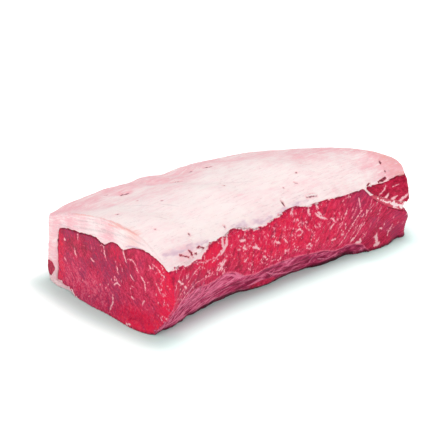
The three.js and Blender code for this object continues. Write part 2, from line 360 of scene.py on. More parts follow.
class Skin:
    """A dense mesh made from a solid, with its points held as an array in mm."""

    def __init__(self, node: str, name: str, voxel: float, soft_corner: Point) -> None:
        """Copies a solid and covers it with a fine even mesh.

        Args:
            node: The solid's name.
            name: The new object's name.
            voxel: The mesh's cell, in mm.
            soft_corner: The x and y in mm short of which, both ways, no edge is kept crisp.
        """
        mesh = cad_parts[node].data.copy()
        mesh.materials.clear()
        mesh.name = name
        self.obj = bpy.data.objects.new(name, mesh)
        bpy.context.scene.collection.objects.link(self.obj)
        self.corners = self._crisp_edges(mesh, soft_corner)
        remesh = self.obj.modifiers.new("fine", "REMESH")
        remesh.mode = "VOXEL"
        remesh.voxel_size = voxel * MM
        self._apply()
        self.read()
        self._drop_crumbs()

    def _drop_crumbs(self) -> None:
        """Deletes whatever isn't joined to the mesh's largest part."""
        a, b = self.edges.T
        # every point starts with its own number, and joined points take the lowest until each part has one
        part = np.arange(len(self.points))
        while True:
            ends = np.concatenate([part[a], part[b]])
            lowest = np.tile(np.minimum(part[a], part[b]), 2)
            joined = part.copy()
            np.minimum.at(joined, ends, lowest)
            joined = joined[joined]
            if np.array_equal(joined, part):
                break
            part = joined
        crumbs = np.nonzero(part != np.bincount(part).argmax())[0]
        if len(crumbs):
            work = bmesh.new()
            work.from_mesh(self.obj.data)
            work.verts.ensure_lookup_table()
            bmesh.ops.delete(work, geom=[work.verts[k] for k in crumbs.tolist()], context="VERTS")
            work.to_mesh(self.obj.data)
            work.free()
            self.read()

    def _crisp_edges(self, mesh: bpy.types.Mesh, soft_corner: Point) -> KDTree:
        """Joins the solid's triangles and finds its crisp edges.

        Args:
            mesh: The solid's mesh, whose doubled points are joined.
            soft_corner: The x and y in mm short of which, both ways, no edge counts.

        Returns:
            A search tree of points along the crisp edges, in mm.
        """
        soft_x, soft_y = soft_corner[0] * MM, soft_corner[1] * MM
        work = bmesh.new()
        work.from_mesh(mesh)
        bmesh.ops.remove_doubles(work, verts=work.verts, dist=WELD)
        places = []
        for edge in work.edges:
            if len(edge.link_faces) == 2 and edge.calc_face_angle() > CRISP_ANGLE:
                a, b = edge.verts[0].co, edge.verts[1].co
                if max(a.x, b.x) < soft_x and max(a.y, b.y) < soft_y:
                    continue
                count = max(1, int((b - a).length / CRISP_PACE))
                places += [a.lerp(b, k / count) / MM for k in range(count + 1)]
        work.to_mesh(mesh)
        work.free()
        tree = KDTree(max(1, len(places)))
        for k, place in enumerate(places):
            tree.insert(place, k)
        tree.balance()
        return tree

    def _apply(self) -> None:
        """Turns the object's modifiers into plain mesh."""
        depsgraph = bpy.context.evaluated_depsgraph_get()
        mesh = bpy.data.meshes.new_from_object(self.obj.evaluated_get(depsgraph))
        old = self.obj.data
        name = old.name
        self.obj.modifiers.clear()
        self.obj.data = mesh
        bpy.data.meshes.remove(old)
        mesh.name = name

    def read(self) -> None:
        """Reads the points, their normals and the edges from the mesh."""
        mesh = self.obj.data
        count = len(mesh.vertices)
        points = np.empty(count * 3, np.float32)
        mesh.vertices.foreach_get("co", points)
        self.points = points.reshape(-1, 3).astype(float) / MM
        normals = np.empty(count * 3, np.float32)
        mesh.vertex_normals.foreach_get("vector", normals)
        self.normals = normals.reshape(-1, 3).astype(float)
        edges = np.empty(len(mesh.edges) * 2, np.int32)
        mesh.edges.foreach_get("vertices", edges)
        self.edges = edges.reshape(-1, 2)

    def write(self) -> None:
        """Puts the points back into the mesh and reads its new normals."""
        mesh = self.obj.data
        mesh.vertices.foreach_set("co", (self.points * MM).astype(np.float32).ravel())
        mesh.update()
        self.read()

    def softened(self, values: np.ndarray, rounds: int, share: np.ndarray | float = 0.6) -> np.ndarray:
        """Averages values with their neighbours' along the mesh.

        Args:
            values: One row of numbers for each point.
            rounds: How many times.
            share: How far each point goes towards its neighbours' mean each time, from 0 to 1.

        Returns:
            The smoothed values.
        """
        table = values.reshape(len(values), -1).astype(float)
        ends = np.concatenate([self.edges[:, 0], self.edges[:, 1]])
        others = np.concatenate([self.edges[:, 1], self.edges[:, 0]])
        count = np.maximum(np.bincount(ends, minlength=len(table)), 1)
        for _ in range(rounds):
            for column in range(table.shape[1]):
                mean = np.bincount(ends, table[others, column], len(table)) / count
                table[:, column] += (mean - table[:, column]) * share
        return table.reshape(values.shape)

    def smooth(self, rounds: int) -> None:
        """Takes out the solid's facets, and leaves its crisp edges crisp.

        Args:
            rounds: How many times the points are averaged.
        """
        gap = np.array([self.corners.find(point)[2] for point in self.points])
        share = EDGE_SHARE + OPEN_SHARE * eased(gap, *CLEAR)
        self.points = self.softened(self.points, rounds, share)
        self.write()

    def gap_to(self, node: str, reach: float) -> np.ndarray:
        """Measures how far each point is from another solid.

        Args:
            node: The other solid's name.
            reach: The greatest distance looked for, in mm.

        Returns:
            The distances in mm, and reach where it is further.
        """
        tree = tree_of(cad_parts[node].data)
        found = [tree.find_nearest(point * MM, reach * MM)[3] for point in self.points]
        return np.array([reach if gap is None else gap / MM for gap in found])

    def push(self, amount: np.ndarray) -> None:
        """Moves each point out along its normal, in mm, and never below the board."""
        self.points = self.points + self.normals * amount[:, None]
        self.lift()

    def lift(self) -> None:
        """Brings points that lie below the board up to it."""
        self.points[:, 2] = np.maximum(self.points[:, 2], 0.0)
        self.write()

    def thin(self, hidden: np.ndarray, triangles: int) -> None:
        """Gives the hidden parts fewer and larger triangles.

        Args:
            hidden: 1 where a point can't be seen, 0 where it can.
            triangles: The most triangles to leave in all.
        """
        group = self.obj.vertex_groups.new(name="hidden")
        steps = np.round(hidden * 2.0) / 2.0
        for level in (0.5, 1.0):
            chosen = np.nonzero(steps == level)[0]
            if len(chosen):
                group.add(chosen.tolist(), level, "REPLACE")
        self._decimate(triangles, group.name)
        self.obj.vertex_groups.clear()
        if len(self.obj.data.polygons) > triangles:
            self._decimate(triangles)
        self.read()
        self.lift()

    def _decimate(self, triangles: int, group: str = "") -> None:
        """Merges points until a number of triangles is left.

        Args:
            triangles: The number.
            group: The vertex group whose points go first, where there is one.
        """
        self.obj.data.calc_loop_triangles()
        decimate = self.obj.modifiers.new("thin", "DECIMATE")
        decimate.ratio = min(1.0, triangles / len(self.obj.data.loop_triangles))
        decimate.use_collapse_triangulate = True
        decimate.vertex_group = group
        decimate.vertex_group_factor = HIDDEN_PULL
        self._apply()

    def mark(self, name: str, values: np.ndarray) -> None:
        """Keeps one number or one vector for each point under a name that the finish reads.

        Args:
            name: The mark's name.
            values: The numbers, or rows of three.
        """
        vector = values.ndim == 2
        layer = self.obj.data.attributes.new(name, "FLOAT_VECTOR" if vector else "FLOAT", "POINT")
        layer.data.foreach_set("vector" if vector else "value", values.astype(np.float32).ravel())

    def finish(self, material: bpy.types.Material) -> None:
        """Gives the mesh its material and smooth shading."""
        self.obj.data.materials.append(material)
        self.obj.data.shade_smooth()


# ---------------------------------------------------------------------------------------------------------
# Finishes
# ---------------------------------------------------------------------------------------------------------


class ShaderSheet:
    """Lays out the shader nodes of one finish."""

    def __init__(self, name: str) -> None:
        """Starts an empty material.

        Args:
            name: The material's name.
        """
        self.material = bpy.data.materials.new(name)
        self.material.use_nodes = True
        self.tree = self.material.node_tree
        self.tree.nodes.clear()
        place = self.add("ShaderNodeTexCoord")
        self.place = self.stretch(place.outputs["Object"], (1 / MM, 1 / MM, 1 / MM))

    def add(self, kind: str, inputs: dict | None = None, **options: object) -> bpy.types.Node:
        """Adds a node.

        Args:
            kind: Its Blender type.
            inputs: For an input's name or number, a socket to link or a value to set.
            options: Its own settings.

        Returns:
            The node.
        """
        node = self.tree.nodes.new(kind)
        for option, value in options.items():
            setattr(node, option, value)
        for key, value in (inputs or {}).items():
            if isinstance(value, Socket):
                self.tree.links.new(value, node.inputs[key])
            elif value is not None:
                node.inputs[key].default_value = value
        return node

    def stretch(self, vector: Socket, scale: Triple) -> Socket:
        """Multiplies a vector by a scale along each axis."""
        return self.add("ShaderNodeVectorMath", {0: vector, 1: scale}, operation="MULTIPLY").outputs[0]

    def mark(self, name: str) -> Socket:
        """Reads a number painted on the mesh."""
        return self.add("ShaderNodeAttribute", attribute_name=name).outputs["Fac"]

    def mark_vector(self, name: str) -> Socket:
        """Reads a vector painted on the mesh."""
        return self.add("ShaderNodeAttribute", attribute_name=name).outputs["Vector"]

    def noise(
        self, vector: Socket, size: Triple, detail: float = 2.0, rough: float = 0.5, warp: float = 0.0,
    ) -> Socket:
        """Adds smooth noise.

        Args:
            vector: Where, in mm.
            size: The length of a patch along each axis, in mm.
            detail: How many finer layers it has.
            rough: How strong the finer layers are.
            warp: How much it is distorted.

        Returns:
            The noise, about 0 to 1.
        """
        scaled = self.stretch(vector, tuple(1.0 / length for length in size))
        inputs = {"Vector": scaled, "Scale": 1.0, "Detail": detail, "Roughness": rough, "Distortion": warp}
        return self.add("ShaderNodeTexNoise", inputs).outputs["Fac"]

    def weave(self, vector: Socket, size: Triple) -> Socket:
        """Adds a net of cells.

        Args:
            vector: Where, in mm.
            size: The length of a cell along each axis, in mm.

        Returns:
            The distance from the net's lines, in cells.
        """
        inputs = {"Vector": self.stretch(vector, tuple(1.0 / length for length in size)), "Scale": 1.0}
        return self.add("ShaderNodeTexVoronoi", inputs, feature="DISTANCE_TO_EDGE").outputs["Distance"]

    def calc(
        self, operation: str, a: Socket | float, b: Socket | float = 0.0, c: Socket | float = 0.0,
    ) -> Socket:
        """Does one step of arithmetic.

        Args:
            operation: The Blender name of the step.
            a: The first number.
            b: The second number.
            c: The third number, where the step has one.

        Returns:
            The result.
        """
        return self.add("ShaderNodeMath", {0: a, 1: b, 2: c}, operation=operation).outputs[0]

    def times(self, a: Socket, b: Socket) -> Socket:
        """Multiplies two numbers."""
        return self.calc("MULTIPLY", a, b)

    def weighted(self, *parts: tuple[Socket, float]) -> Socket:
        """Sums numbers, each times its weight.

        Args:
            parts: The numbers with their weights.

        Returns:
            The sum.
        """
        total = 0.0
        for value, weight in parts:
            total = self.calc("MULTIPLY_ADD", value, weight, total)
        return total

    def ragged(self, name: str, pattern: Socket, reach: float) -> Socket:
        """Reads a painted distance and shifts it by a noise, a reach in mm for each 1 of it."""
        return self.calc("MULTIPLY_ADD", self.calc("SUBTRACT", pattern, 0.5), reach, self.mark(name))

    def ease(self, value: Socket, low: float, high: float, top: float = 1.0) -> Socket:
        """Rises smoothly from 0 at low to top at high."""
        inputs = {"Value": value, "From Min": low, "From Max": high, "To Min": 0.0, "To Max": top}
        return self.add("ShaderNodeMapRange", inputs, interpolation_type="SMOOTHSTEP").outputs["Result"]

    def span(self, value: Socket, low: float, high: float, start: float, end: float) -> Socket:
        """Maps a number from one range to another in a straight line."""
        inputs = {"Value": value, "From Min": low, "From Max": high, "To Min": start, "To Max": end}
        return self.add("ShaderNodeMapRange", inputs).outputs["Result"]

    def over(self, below: Socket | Colour, above: Socket | Colour, share: Socket) -> Socket:
        """Lays one colour over another.

        Args:
            below: The colour underneath.
            above: The colour on top.
            share: How much of the top one shows.

        Returns:
            The mixed colour.
        """
        below = below if isinstance(below, Socket) else (*below, 1.0)
        above = above if isinstance(above, Socket) else (*above, 1.0)
        node = self.add("ShaderNodeMix", data_type="RGBA")
        for socket, value in zip((node.inputs[0], node.inputs[6], node.inputs[7]), (share, below, above)):
            if isinstance(value, Socket):
                self.tree.links.new(value, socket)
            else:
                socket.default_value = value
        return node.outputs[2]

    def tint(self, below: Socket, above: Colour, name: str, pattern: Socket) -> Socket:
        """Lays a colour where a painted mark and a pattern both are strong."""
        return self.over(below, above, self.times(self.mark(name), pattern))

    def ramp(self, value: Socket, stops: list[tuple[float, Colour]]) -> Socket:
        """Turns a number into a colour.

        Args:
            value: The number.
            stops: The colours and where they lie from 0 to 1.

        Returns:
            The colour.
        """
        node = self.add("ShaderNodeValToRGB", {0: value})
        elements = node.color_ramp.elements
        while len(elements) < len(stops):
            elements.new(0.5)
        for element, (place, colour) in zip(elements, stops):
            element.position = place
            element.color = (*colour, 1.0)
        return node.outputs["Color"]

    def bump(self, height: Socket, depth: float, strength: float) -> Socket:
        """Tilts the shading by a height.

        Args:
            height: The height, about 0 to 1.
            depth: How deep a height of 1 is, in mm.
            strength: How much of it shows.

        Returns:
            The tilted normal.
        """
        inputs = {"Height": height, "Distance": depth * MM, "Strength": strength}
        return self.add("ShaderNodeBump", inputs).outputs[0]

    def surface(self, inputs: dict) -> bpy.types.Material:
        """Ends the material in one Principled surface.

        Args:
            inputs: What its sockets are set or linked to.

        Returns:
            The material.
        """
        shader = self.add("ShaderNodeBsdfPrincipled", inputs)
        self.add("ShaderNodeOutputMaterial", {"Surface": shader.outputs[0]})
        return self.material


class LeanSheet(ShaderSheet):
    """A sheet with the patterns that the layers of lean share."""

    def __init__(self, name: str) -> None:
        """Starts the material and its patterns.

        Args:
            name: The material's name.
        """
        super().__init__(name)
        # sizes are in mm: across, along and below the fibres on the grain, and along x, y and z elsewhere
        self.grain = self.mark_vector("grain")
        self.fibre = self.noise(self.grain, (2.0, 7.0, 2.0), 3.0, 0.72, 0.4)
        self.bundle = self.noise(self.grain, (4.2, 16.0, 4.2), 2.0, 0.55, 0.5)
        self.fine = self.noise(self.place, (1.9, 1.9, 1.9), 3.0, 0.75)
        self.torn = self.noise(self.place, (7.0, 7.0, 5.0), 3.0, 0.7, 0.5)
        self.patch = self.noise(self.place, (26.0, 26.0, 22.0), 2.0, 0.5)
        self.wobble = self.noise(self.place, (1.5, 1.5, 1.5), 2.0, 0.65)
        speck = self.noise(self.grain, (2.2, 3.2, 2.2), 4.0, 0.78, 0.8)
        self.speck = self.calc("MULTIPLY_ADD", self.mark("specks"), 0.16, speck)


@dataclass(frozen=True)
class LeanFinish:
    """Moist cut muscle: fibres, flecks, marbling, silverskin with painted sheen, and rims of painted shade.
    """

    name: str
    shadow: Colour
    body: Colour
    light: Colour
    bloom: Colour = (0.80, 0.003, 0.055)
    violet: Colour = (0.35, 0.032, 0.105)
    ember: Colour = (0.90, 0.03, 0.05)
    marbling: Colour = (0.93, 0.54, 0.57)
    fatty: Colour = (0.96, 0.74, 0.75)
    pink: Colour = (0.80, 0.15, 0.25)
    # the silverskin's own colours, which a painted sheen over its folds moves between
    silver_dark: Colour = (0.22, 0.006, 0.045)
    silverskin: Colour = (0.48, 0.030, 0.115)
    silver_light: Colour = (0.82, 0.20, 0.34)
    # painted shade along the seams with the fat, and under the foot
    seam_shade: Colour = (0.16, 0.005, 0.028)
    # painted shadow under the foot, where it tucks under
    foot: Colour = (0.045, 0.006, 0.016)
    roughness: float = 0.38

    def material(self) -> bpy.types.Material:
        """Builds the finish, layer by layer.

        Returns:
            The material.
        """
        sheet = LeanSheet(self.name)
        base = self._flesh(sheet)
        for layer in (self._tinted, self._marbled, self._silvered, self._edged):
            base = layer(sheet, base)
        height = sheet.weighted((sheet.speck, 0.3), (sheet.fine, 0.3), (sheet.fibre, 0.5))
        uneven = sheet.calc("ADD", sheet.fine, sheet.patch)
        return sheet.surface({
            "Base Color": base,
            "Roughness": sheet.span(uneven, 0.7, 1.3, self.roughness - 0.10, self.roughness + 0.14),
            "Specular IOR Level": 0.12,
            "Subsurface Weight": 0.04,
            "Subsurface Radius": (1.0, 0.25, 0.2),
            "Subsurface Scale": 1.0 * MM,
            "Normal": sheet.bump(height, 1.2, 0.8),
        })

    def _flesh(self, sheet: LeanSheet) -> Socket:
        """Colours bare muscle by its fibres, with painted shade in the torn hollows.

        Args:
            sheet: The sheet to lay it out on.

        Returns:
            The colour.
        """
        tone = sheet.weighted((sheet.fine, 0.36), (sheet.bundle, 0.26), (sheet.fibre, 0.38))
        tone = sheet.calc("ADD", tone, sheet.mark("glow"))
        stops = [(0.38, self.shadow), (0.48, self.body), (0.56, self.light), (0.67, self.pink)]
        # painted shade in the torn hollows
        hollow_shade = sheet.ease(sheet.torn, 0.47, 0.37, 0.75)
        return sheet.tint(sheet.ramp(tone, stops), self.shadow, "torn", hollow_shade)

    def _tinted(self, sheet: LeanSheet, base: Socket) -> Socket:
        """Lays on the violet, the fresh reds and the pale rolled edge.

        Args:
            sheet: The sheet to lay them out on.
            base: The colour underneath.

        Returns:
            The colour.
        """
        violet = sheet.times(sheet.ease(sheet.patch, 0.42, 0.60), sheet.ease(sheet.fibre, 0.66, 0.40))
        base = sheet.tint(base, self.violet, "violet", violet)
        base = sheet.tint(base, self.bloom, "bloom", sheet.ease(sheet.bundle, 0.30, 0.55))
        glint = sheet.noise(sheet.place, (2.6, 2.6, 2.2), 2.0, 0.7)
        base = sheet.tint(base, self.ember, "bloom", sheet.ease(glint, 0.54, 0.66, 0.7))
        return sheet.tint(base, self.silver_light, "rolled", sheet.ease(sheet.fine, 0.40, 0.56, 0.85))

    def _marbled(self, sheet: LeanSheet, base: Socket) -> Socket:
        """Lays on the net between the fibre bundles, the specks and the lines of fat.

        Args:
            sheet: The sheet to lay them out on.
            base: The colour underneath.

        Returns:
            The colour.
        """
        net = sheet.ease(sheet.weave(sheet.grain, (2.3, 4.6, 2.3)), 0.10, 0.02)
        net = sheet.times(net, sheet.ease(sheet.fine, 0.42, 0.62, 0.45))
        base = sheet.tint(base, self.pink, "hatch", net)
        base = sheet.tint(base, self.violet, "hatch", sheet.ease(sheet.fibre, 0.44, 0.36, 0.8))
        base = sheet.over(base, self.pink, sheet.ease(sheet.speck, 0.73, 0.78, 0.8))
        base = sheet.over(base, self.marbling, sheet.ease(sheet.speck, 0.785, 0.85, 0.85))
        line = sheet.ragged("marbling", sheet.wobble, 3.2)
        base = sheet.over(base, self.pink, sheet.ease(line, 0.75, 0.10, 0.7))
        return sheet.over(base, self.marbling, sheet.ease(line, 0.25, -0.45, 0.95))

    def _silvered(self, sheet: LeanSheet, base: Socket) -> Socket:
        """Lays on the silverskin with a painted sheen, its pale edge, and threads partly of painted
        highlight.

        Args:
            sheet: The sheet to lay them out on.
            base: The colour underneath.

        Returns:
            The colour.
        """
        folds = sheet.noise(sheet.place, (13.0, 5.0, 3.4), 2.0, 0.6, 0.8)
        silk = sheet.noise(sheet.mark_vector("silk"), (1.9, 20.0, 5.0), 3.0, 0.72, 0.35)
        # painted sheen on the silverskin's folds and strands
        sheen = sheet.calc("ADD", sheet.weighted((folds, 0.38), (silk, 0.62)), sheet.mark("sheen"))
        stops = [(0.42, self.silver_dark), (0.50, self.silverskin), (0.59, self.silver_light)]
        crest = sheet.ragged("crest", sheet.wobble, 2.6)
        base = sheet.over(base, sheet.ramp(sheen, stops), sheet.ease(crest, 0.4, -0.8, 0.9))
        ridge = sheet.ease(sheet.calc("ABSOLUTE", crest), 1.0, 0.2, 0.8)
        base = sheet.over(base, self.pink, sheet.times(ridge, sheet.ease(sheet.bundle, 0.30, 0.48)))
        # pale strands of the silverskin and painted highlight lines
        thread = sheet.ragged("threads", sheet.wobble, 1.4)
        return sheet.over(base, self.silver_light, sheet.ease(thread, 0.55, -0.2, 0.8))

    def _edged(self, sheet: LeanSheet, base: Socket) -> Socket:
        """Lays on the lapping fat, and painted shade at its fringe, along the seams and under the foot.

        Args:
            sheet: The sheet to lay them out on.
            base: The colour underneath.

        Returns:
            The colour.
        """
        margin = sheet.ragged("margin", sheet.noise(sheet.place, (6.5, 6.5, 5.0), 2.0, 0.6), -9.0)
        base = sheet.over(base, self.pink, sheet.ease(margin, 0.7, 0.1, 0.8))
        base = sheet.over(base, self.fatty, sheet.ease(margin, 0.2, -0.3, 0.95))
        # painted shade as a dark line just outside the lapping fat
        fringe_shade = sheet.ease(sheet.calc("ABSOLUTE", sheet.calc("SUBTRACT", margin, 1.3)), 0.7, 0.2, 0.55)
        base = sheet.over(base, self.seam_shade, sheet.times(fringe_shade, sheet.ease(sheet.fine, 0.40, 0.55)))
        # painted shade along the seams, broken by a noise except where the shade outline runs
        broken = sheet.ease(sheet.noise(sheet.place, (8.0, 8.0, 8.0), 2.0, 0.6), 0.38, 0.55)
        line = sheet.calc("MAXIMUM", broken, sheet.mark("shade_outline"))
        base = sheet.tint(base, self.seam_shade, "seam_shade", sheet.times(line, sheet.ease(sheet.wobble, 0.34, 0.52)))
        # painted shadow under the foot
        return sheet.tint(base, self.foot, "foot", sheet.ease(sheet.torn, 0.36, 0.50))


class FatSheet(ShaderSheet):
    """A sheet with the patterns that the layers of fat share."""

    def __init__(self, name: str) -> None:
        """Starts the material and its patterns.

        Args:
            name: The material's name.
        """
        super().__init__(name)
        # sizes are in mm: across, along and below the streaks on the grain, and along x, y and z elsewhere
        grain = self.mark_vector("grain")
        self.cloud = self.noise(self.place, (34.0, 24.0, 24.0), 2.0, 0.5, 0.4)
        self.blotch = self.noise(self.place, (9.0, 7.0, 7.0), 3.0, 0.6, 0.6)
        self.streak = self.noise(grain, (3.0, 26.0, 3.0), 4.0, 0.66, 0.7)
        self.thread = self.noise(grain, (1.4, 13.0, 1.4), 2.0, 0.6, 0.4)
        self.pore = self.noise(self.place, (1.2, 1.2, 1.2), 2.0, 0.6)
        self.wobble = self.noise(self.place, (1.6, 1.6, 1.6), 2.0, 0.65)


@dataclass(frozen=True)
class FatFinish:
    """Moist beef fat: cream and pink clouds, streaks along the joint, stains, films and small dark marks."""

    name: str
    cream: Colour = (0.965, 0.765, 0.77)
    white: Colour = (0.98, 0.84, 0.825)
    rose: Colour = (0.93, 0.60, 0.635)
    flush: Colour = (0.88, 0.34, 0.41)
    peach: Colour = (0.90, 0.41, 0.37)
    lavender: Colour = (0.68, 0.45, 0.56)
    line: Colour = (0.56, 0.42, 0.43)
    stain: Colour = (0.17, 0.012, 0.03)
    blood: Colour = (0.60, 0.025, 0.08)
    roughness: float = 0.48

    def material(self) -> bpy.types.Material:
        """Builds the finish, layer by layer.

        Returns:
            The material.
        """
        sheet = FatSheet(self.name)
        base = self._clouded(sheet)
        for layer in (self._tinted, self._veined, self._stained):
            base = layer(sheet, base)
        height = sheet.weighted((sheet.pore, 0.2), (sheet.thread, 0.3), (sheet.streak, 0.5))
        return sheet.surface({
            "Base Color": base,
            "Roughness": sheet.span(sheet.pore, 0.3, 0.7, self.roughness - 0.08, self.roughness + 0.10),
            "Specular IOR Level": 0.2,
            "Subsurface Weight": 0.12,
            "Subsurface Radius": (1.0, 0.55, 0.45),
            "Subsurface Scale": 2.0 * MM,
            "Normal": sheet.bump(height, 0.7, 0.5),
        })

    def _clouded(self, sheet: FatSheet) -> Socket:
        """Colours plain fat, pinker where it is flushed.

        Args:
            sheet: The sheet to lay it out on.

        Returns:
            The colour.
        """
        tone = sheet.weighted(
            (sheet.pore, 0.10), (sheet.blotch, 0.24), (sheet.cloud, 0.36), (sheet.streak, 0.30),
            (sheet.mark("blush"), -0.10),
        )
        base = sheet.ramp(tone, [(0.33, self.rose), (0.44, self.cream), (0.56, self.white)])
        return sheet.tint(base, self.flush, "blush", sheet.ease(tone, 0.58, 0.32, 0.55))

    def _tinted(self, sheet: FatSheet, base: Socket) -> Socket:
        """Lays on white and pink threads, peach and lavender.

        Args:
            sheet: The sheet to lay them out on.
            base: The colour underneath.

        Returns:
            The colour.
        """
        base = sheet.over(base, self.white, sheet.ease(sheet.thread, 0.42, 0.30, 0.75))
        pinker = sheet.calc("MULTIPLY_ADD", sheet.mark("blush"), 0.45, 0.35)
        base = sheet.over(base, self.rose, sheet.times(sheet.ease(sheet.thread, 0.56, 0.70), pinker))
        base = sheet.tint(base, self.peach, "peach", sheet.ease(sheet.streak, 0.72, 0.32))
        return sheet.tint(base, self.lavender, "lavender", sheet.ease(sheet.blotch, 0.26, 0.50))

    def _veined(self, sheet: FatSheet, base: Socket) -> Socket:
        """Lays on the fine lines along the streaks and the faint veins.

        Args:
            sheet: The sheet to lay them out on.
            base: The colour underneath.

        Returns:
            The colour.
        """
        middle = sheet.calc("ABSOLUTE", sheet.calc("SUBTRACT", sheet.streak, 0.5))
        line = sheet.times(sheet.ease(middle, 0.020, 0.004), sheet.ease(sheet.thread, 0.46, 0.62))
        base = sheet.tint(base, self.line, "lines", line)
        vein = sheet.ragged("veins", sheet.wobble, 2.2)
        return sheet.over(base, self.line, sheet.ease(vein, 1.2, -0.3, 0.35))

    def _stained(self, sheet: FatSheet, base: Socket) -> Socket:
        """Lays on the dark spots and slits, and the red beside the lean.

        Args:
            sheet: The sheet to lay them out on.
            base: The colour underneath.

        Returns:
            The colour.
        """
        spot = sheet.ragged("spots", sheet.wobble, 1.6)
        base = sheet.over(base, self.flush, sheet.ease(spot, 1.7, 0.2, 0.45))
        base = sheet.over(base, self.stain, sheet.ease(spot, 0.5, -0.2, 0.92))
        gash = sheet.ragged("slits", sheet.noise(sheet.place, (2.8, 2.8, 2.2), 3.0, 0.7), 5.0)
        base = sheet.over(base, self.blood, sheet.ease(gash, 0.9, 0.2, 0.85))
        base = sheet.over(base, self.stain, sheet.ease(gash, 0.5, -0.3, 0.95))
        seam = sheet.ragged("edge", sheet.noise(sheet.place, (6.0, 5.0, 4.0), 3.0, 0.62), 12.0)
        base = sheet.over(base, self.flush, sheet.ease(seam, 1.6, 0.5, 0.7))
        return sheet.over(base, self.blood, sheet.ease(seam, 0.7, 0.2, 0.9))


# ---------------------------------------------------------------------------------------------------------
# The pieces of the joint
# ---------------------------------------------------------------------------------------------------------

CUT_END = -120.0  # mm along the joint, short of which a face that looks back is the near cut
CUT_FACING = (0.45, 0.75)  # how squarely a face looks back where the near cut starts, and is full
SIDE_FACING = (0.15, 0.40)  # the same to the front, for the long trimmed side
DOWN_FACING = (0.5, 0.9)  # the same downwards, for the underside
ON_BOARD = (0.4, 0.1)  # mm above the board where a face starts to rest on it, and does
TOUCHING = (0.9, 0.5)  # mm from a neighbour where a face starts to be hidden, and is
BURIED = 0.98  # the share of a point's surroundings that touch a neighbour when it is buried
GROWTH = 0.38  # mm that hidden faces swell by, so that touching pieces close up


@dataclass
class MeatPiece:
    """One muscle or sheet of fat, from its solid to its finish.

    Attributes:
        node: The solid that it replaces.
        name: Its own name.
        slot: The record's material slot.
        neighbours: The solids that it touches.
        voxel: Its mesh's cell, in mm.
        rounds: How often its facets are smoothed.
        triangles: The most triangles it keeps.
        soft_corner: The x and y in mm short of which, both ways, its edges are rounded.
    """

    node: str
    name: str
    slot: Slot
    neighbours: tuple[str, ...]
    voxel: float = 0.8
    rounds: int = 24
    triangles: int = 30000
    soft_corner: Point = (-1000.0, -1000.0)
    skin: Skin = field(init=False)

    def build(self) -> bpy.types.Object:
        """Makes the piece from its solid.

        Returns:
            The finished object, riding on its body.
        """
        self.skin = Skin(self.node, self.name, self.voxel, self.soft_corner)
        self.skin.smooth(self.rounds)
        inner = eased(self.gaps(), *TOUCHING)
        self.skin.push(inner * GROWTH + (1.0 - inner) * self.relief())
        under = eased(self.skin.points[:, 2], *ON_BOARD) * eased(-self.skin.normals[:, 2], *DOWN_FACING)
        touching = (self.gaps() < TOUCHING[0]).astype(float)
        buried = self.skin.softened(touching, rounds=4) > BURIED
        self.skin.thin(np.maximum(buried.astype(float), under), self.triangles)
        self.paint()
        self.skin.finish(self.finish().material())
        obj = self.skin.obj
        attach(obj, ROOT_BODY)
        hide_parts(self.node)
        log.info("%s: %d points, %d faces", obj.name, len(obj.data.vertices), len(obj.data.polygons))
        return obj

    def gaps(self, reach: float = 2.0) -> np.ndarray:
        """Measures how far each point is from the nearest neighbour, in mm, up to a reach."""
        return np.min([self.skin.gap_to(node, reach) for node in self.neighbours], axis=0)

    def on_cut(self) -> np.ndarray:
        """Tells how much each point lies on the near cut face, from 0 to 1."""
        return eased(-self.skin.normals[:, 0], *CUT_FACING) * (self.skin.points[:, 0] < CUT_END)

    def on_side(self) -> np.ndarray:
        """Tells how much each point lies on the long trimmed side, from 0 to 1."""
        return eased(-self.skin.normals[:, 1], *SIDE_FACING) * (1.0 - self.on_cut())

    def relief(self) -> np.ndarray:
        """Gives how far each point stands proud of the smooth form, in mm."""
        raise NotImplementedError

    def paint(self) -> None:
        """Paints the marks that the finish reads."""
        raise NotImplementedError

    def finish(self) -> LeanFinish | FatFinish:
        """Gives the piece's finish."""
        raise NotImplementedError


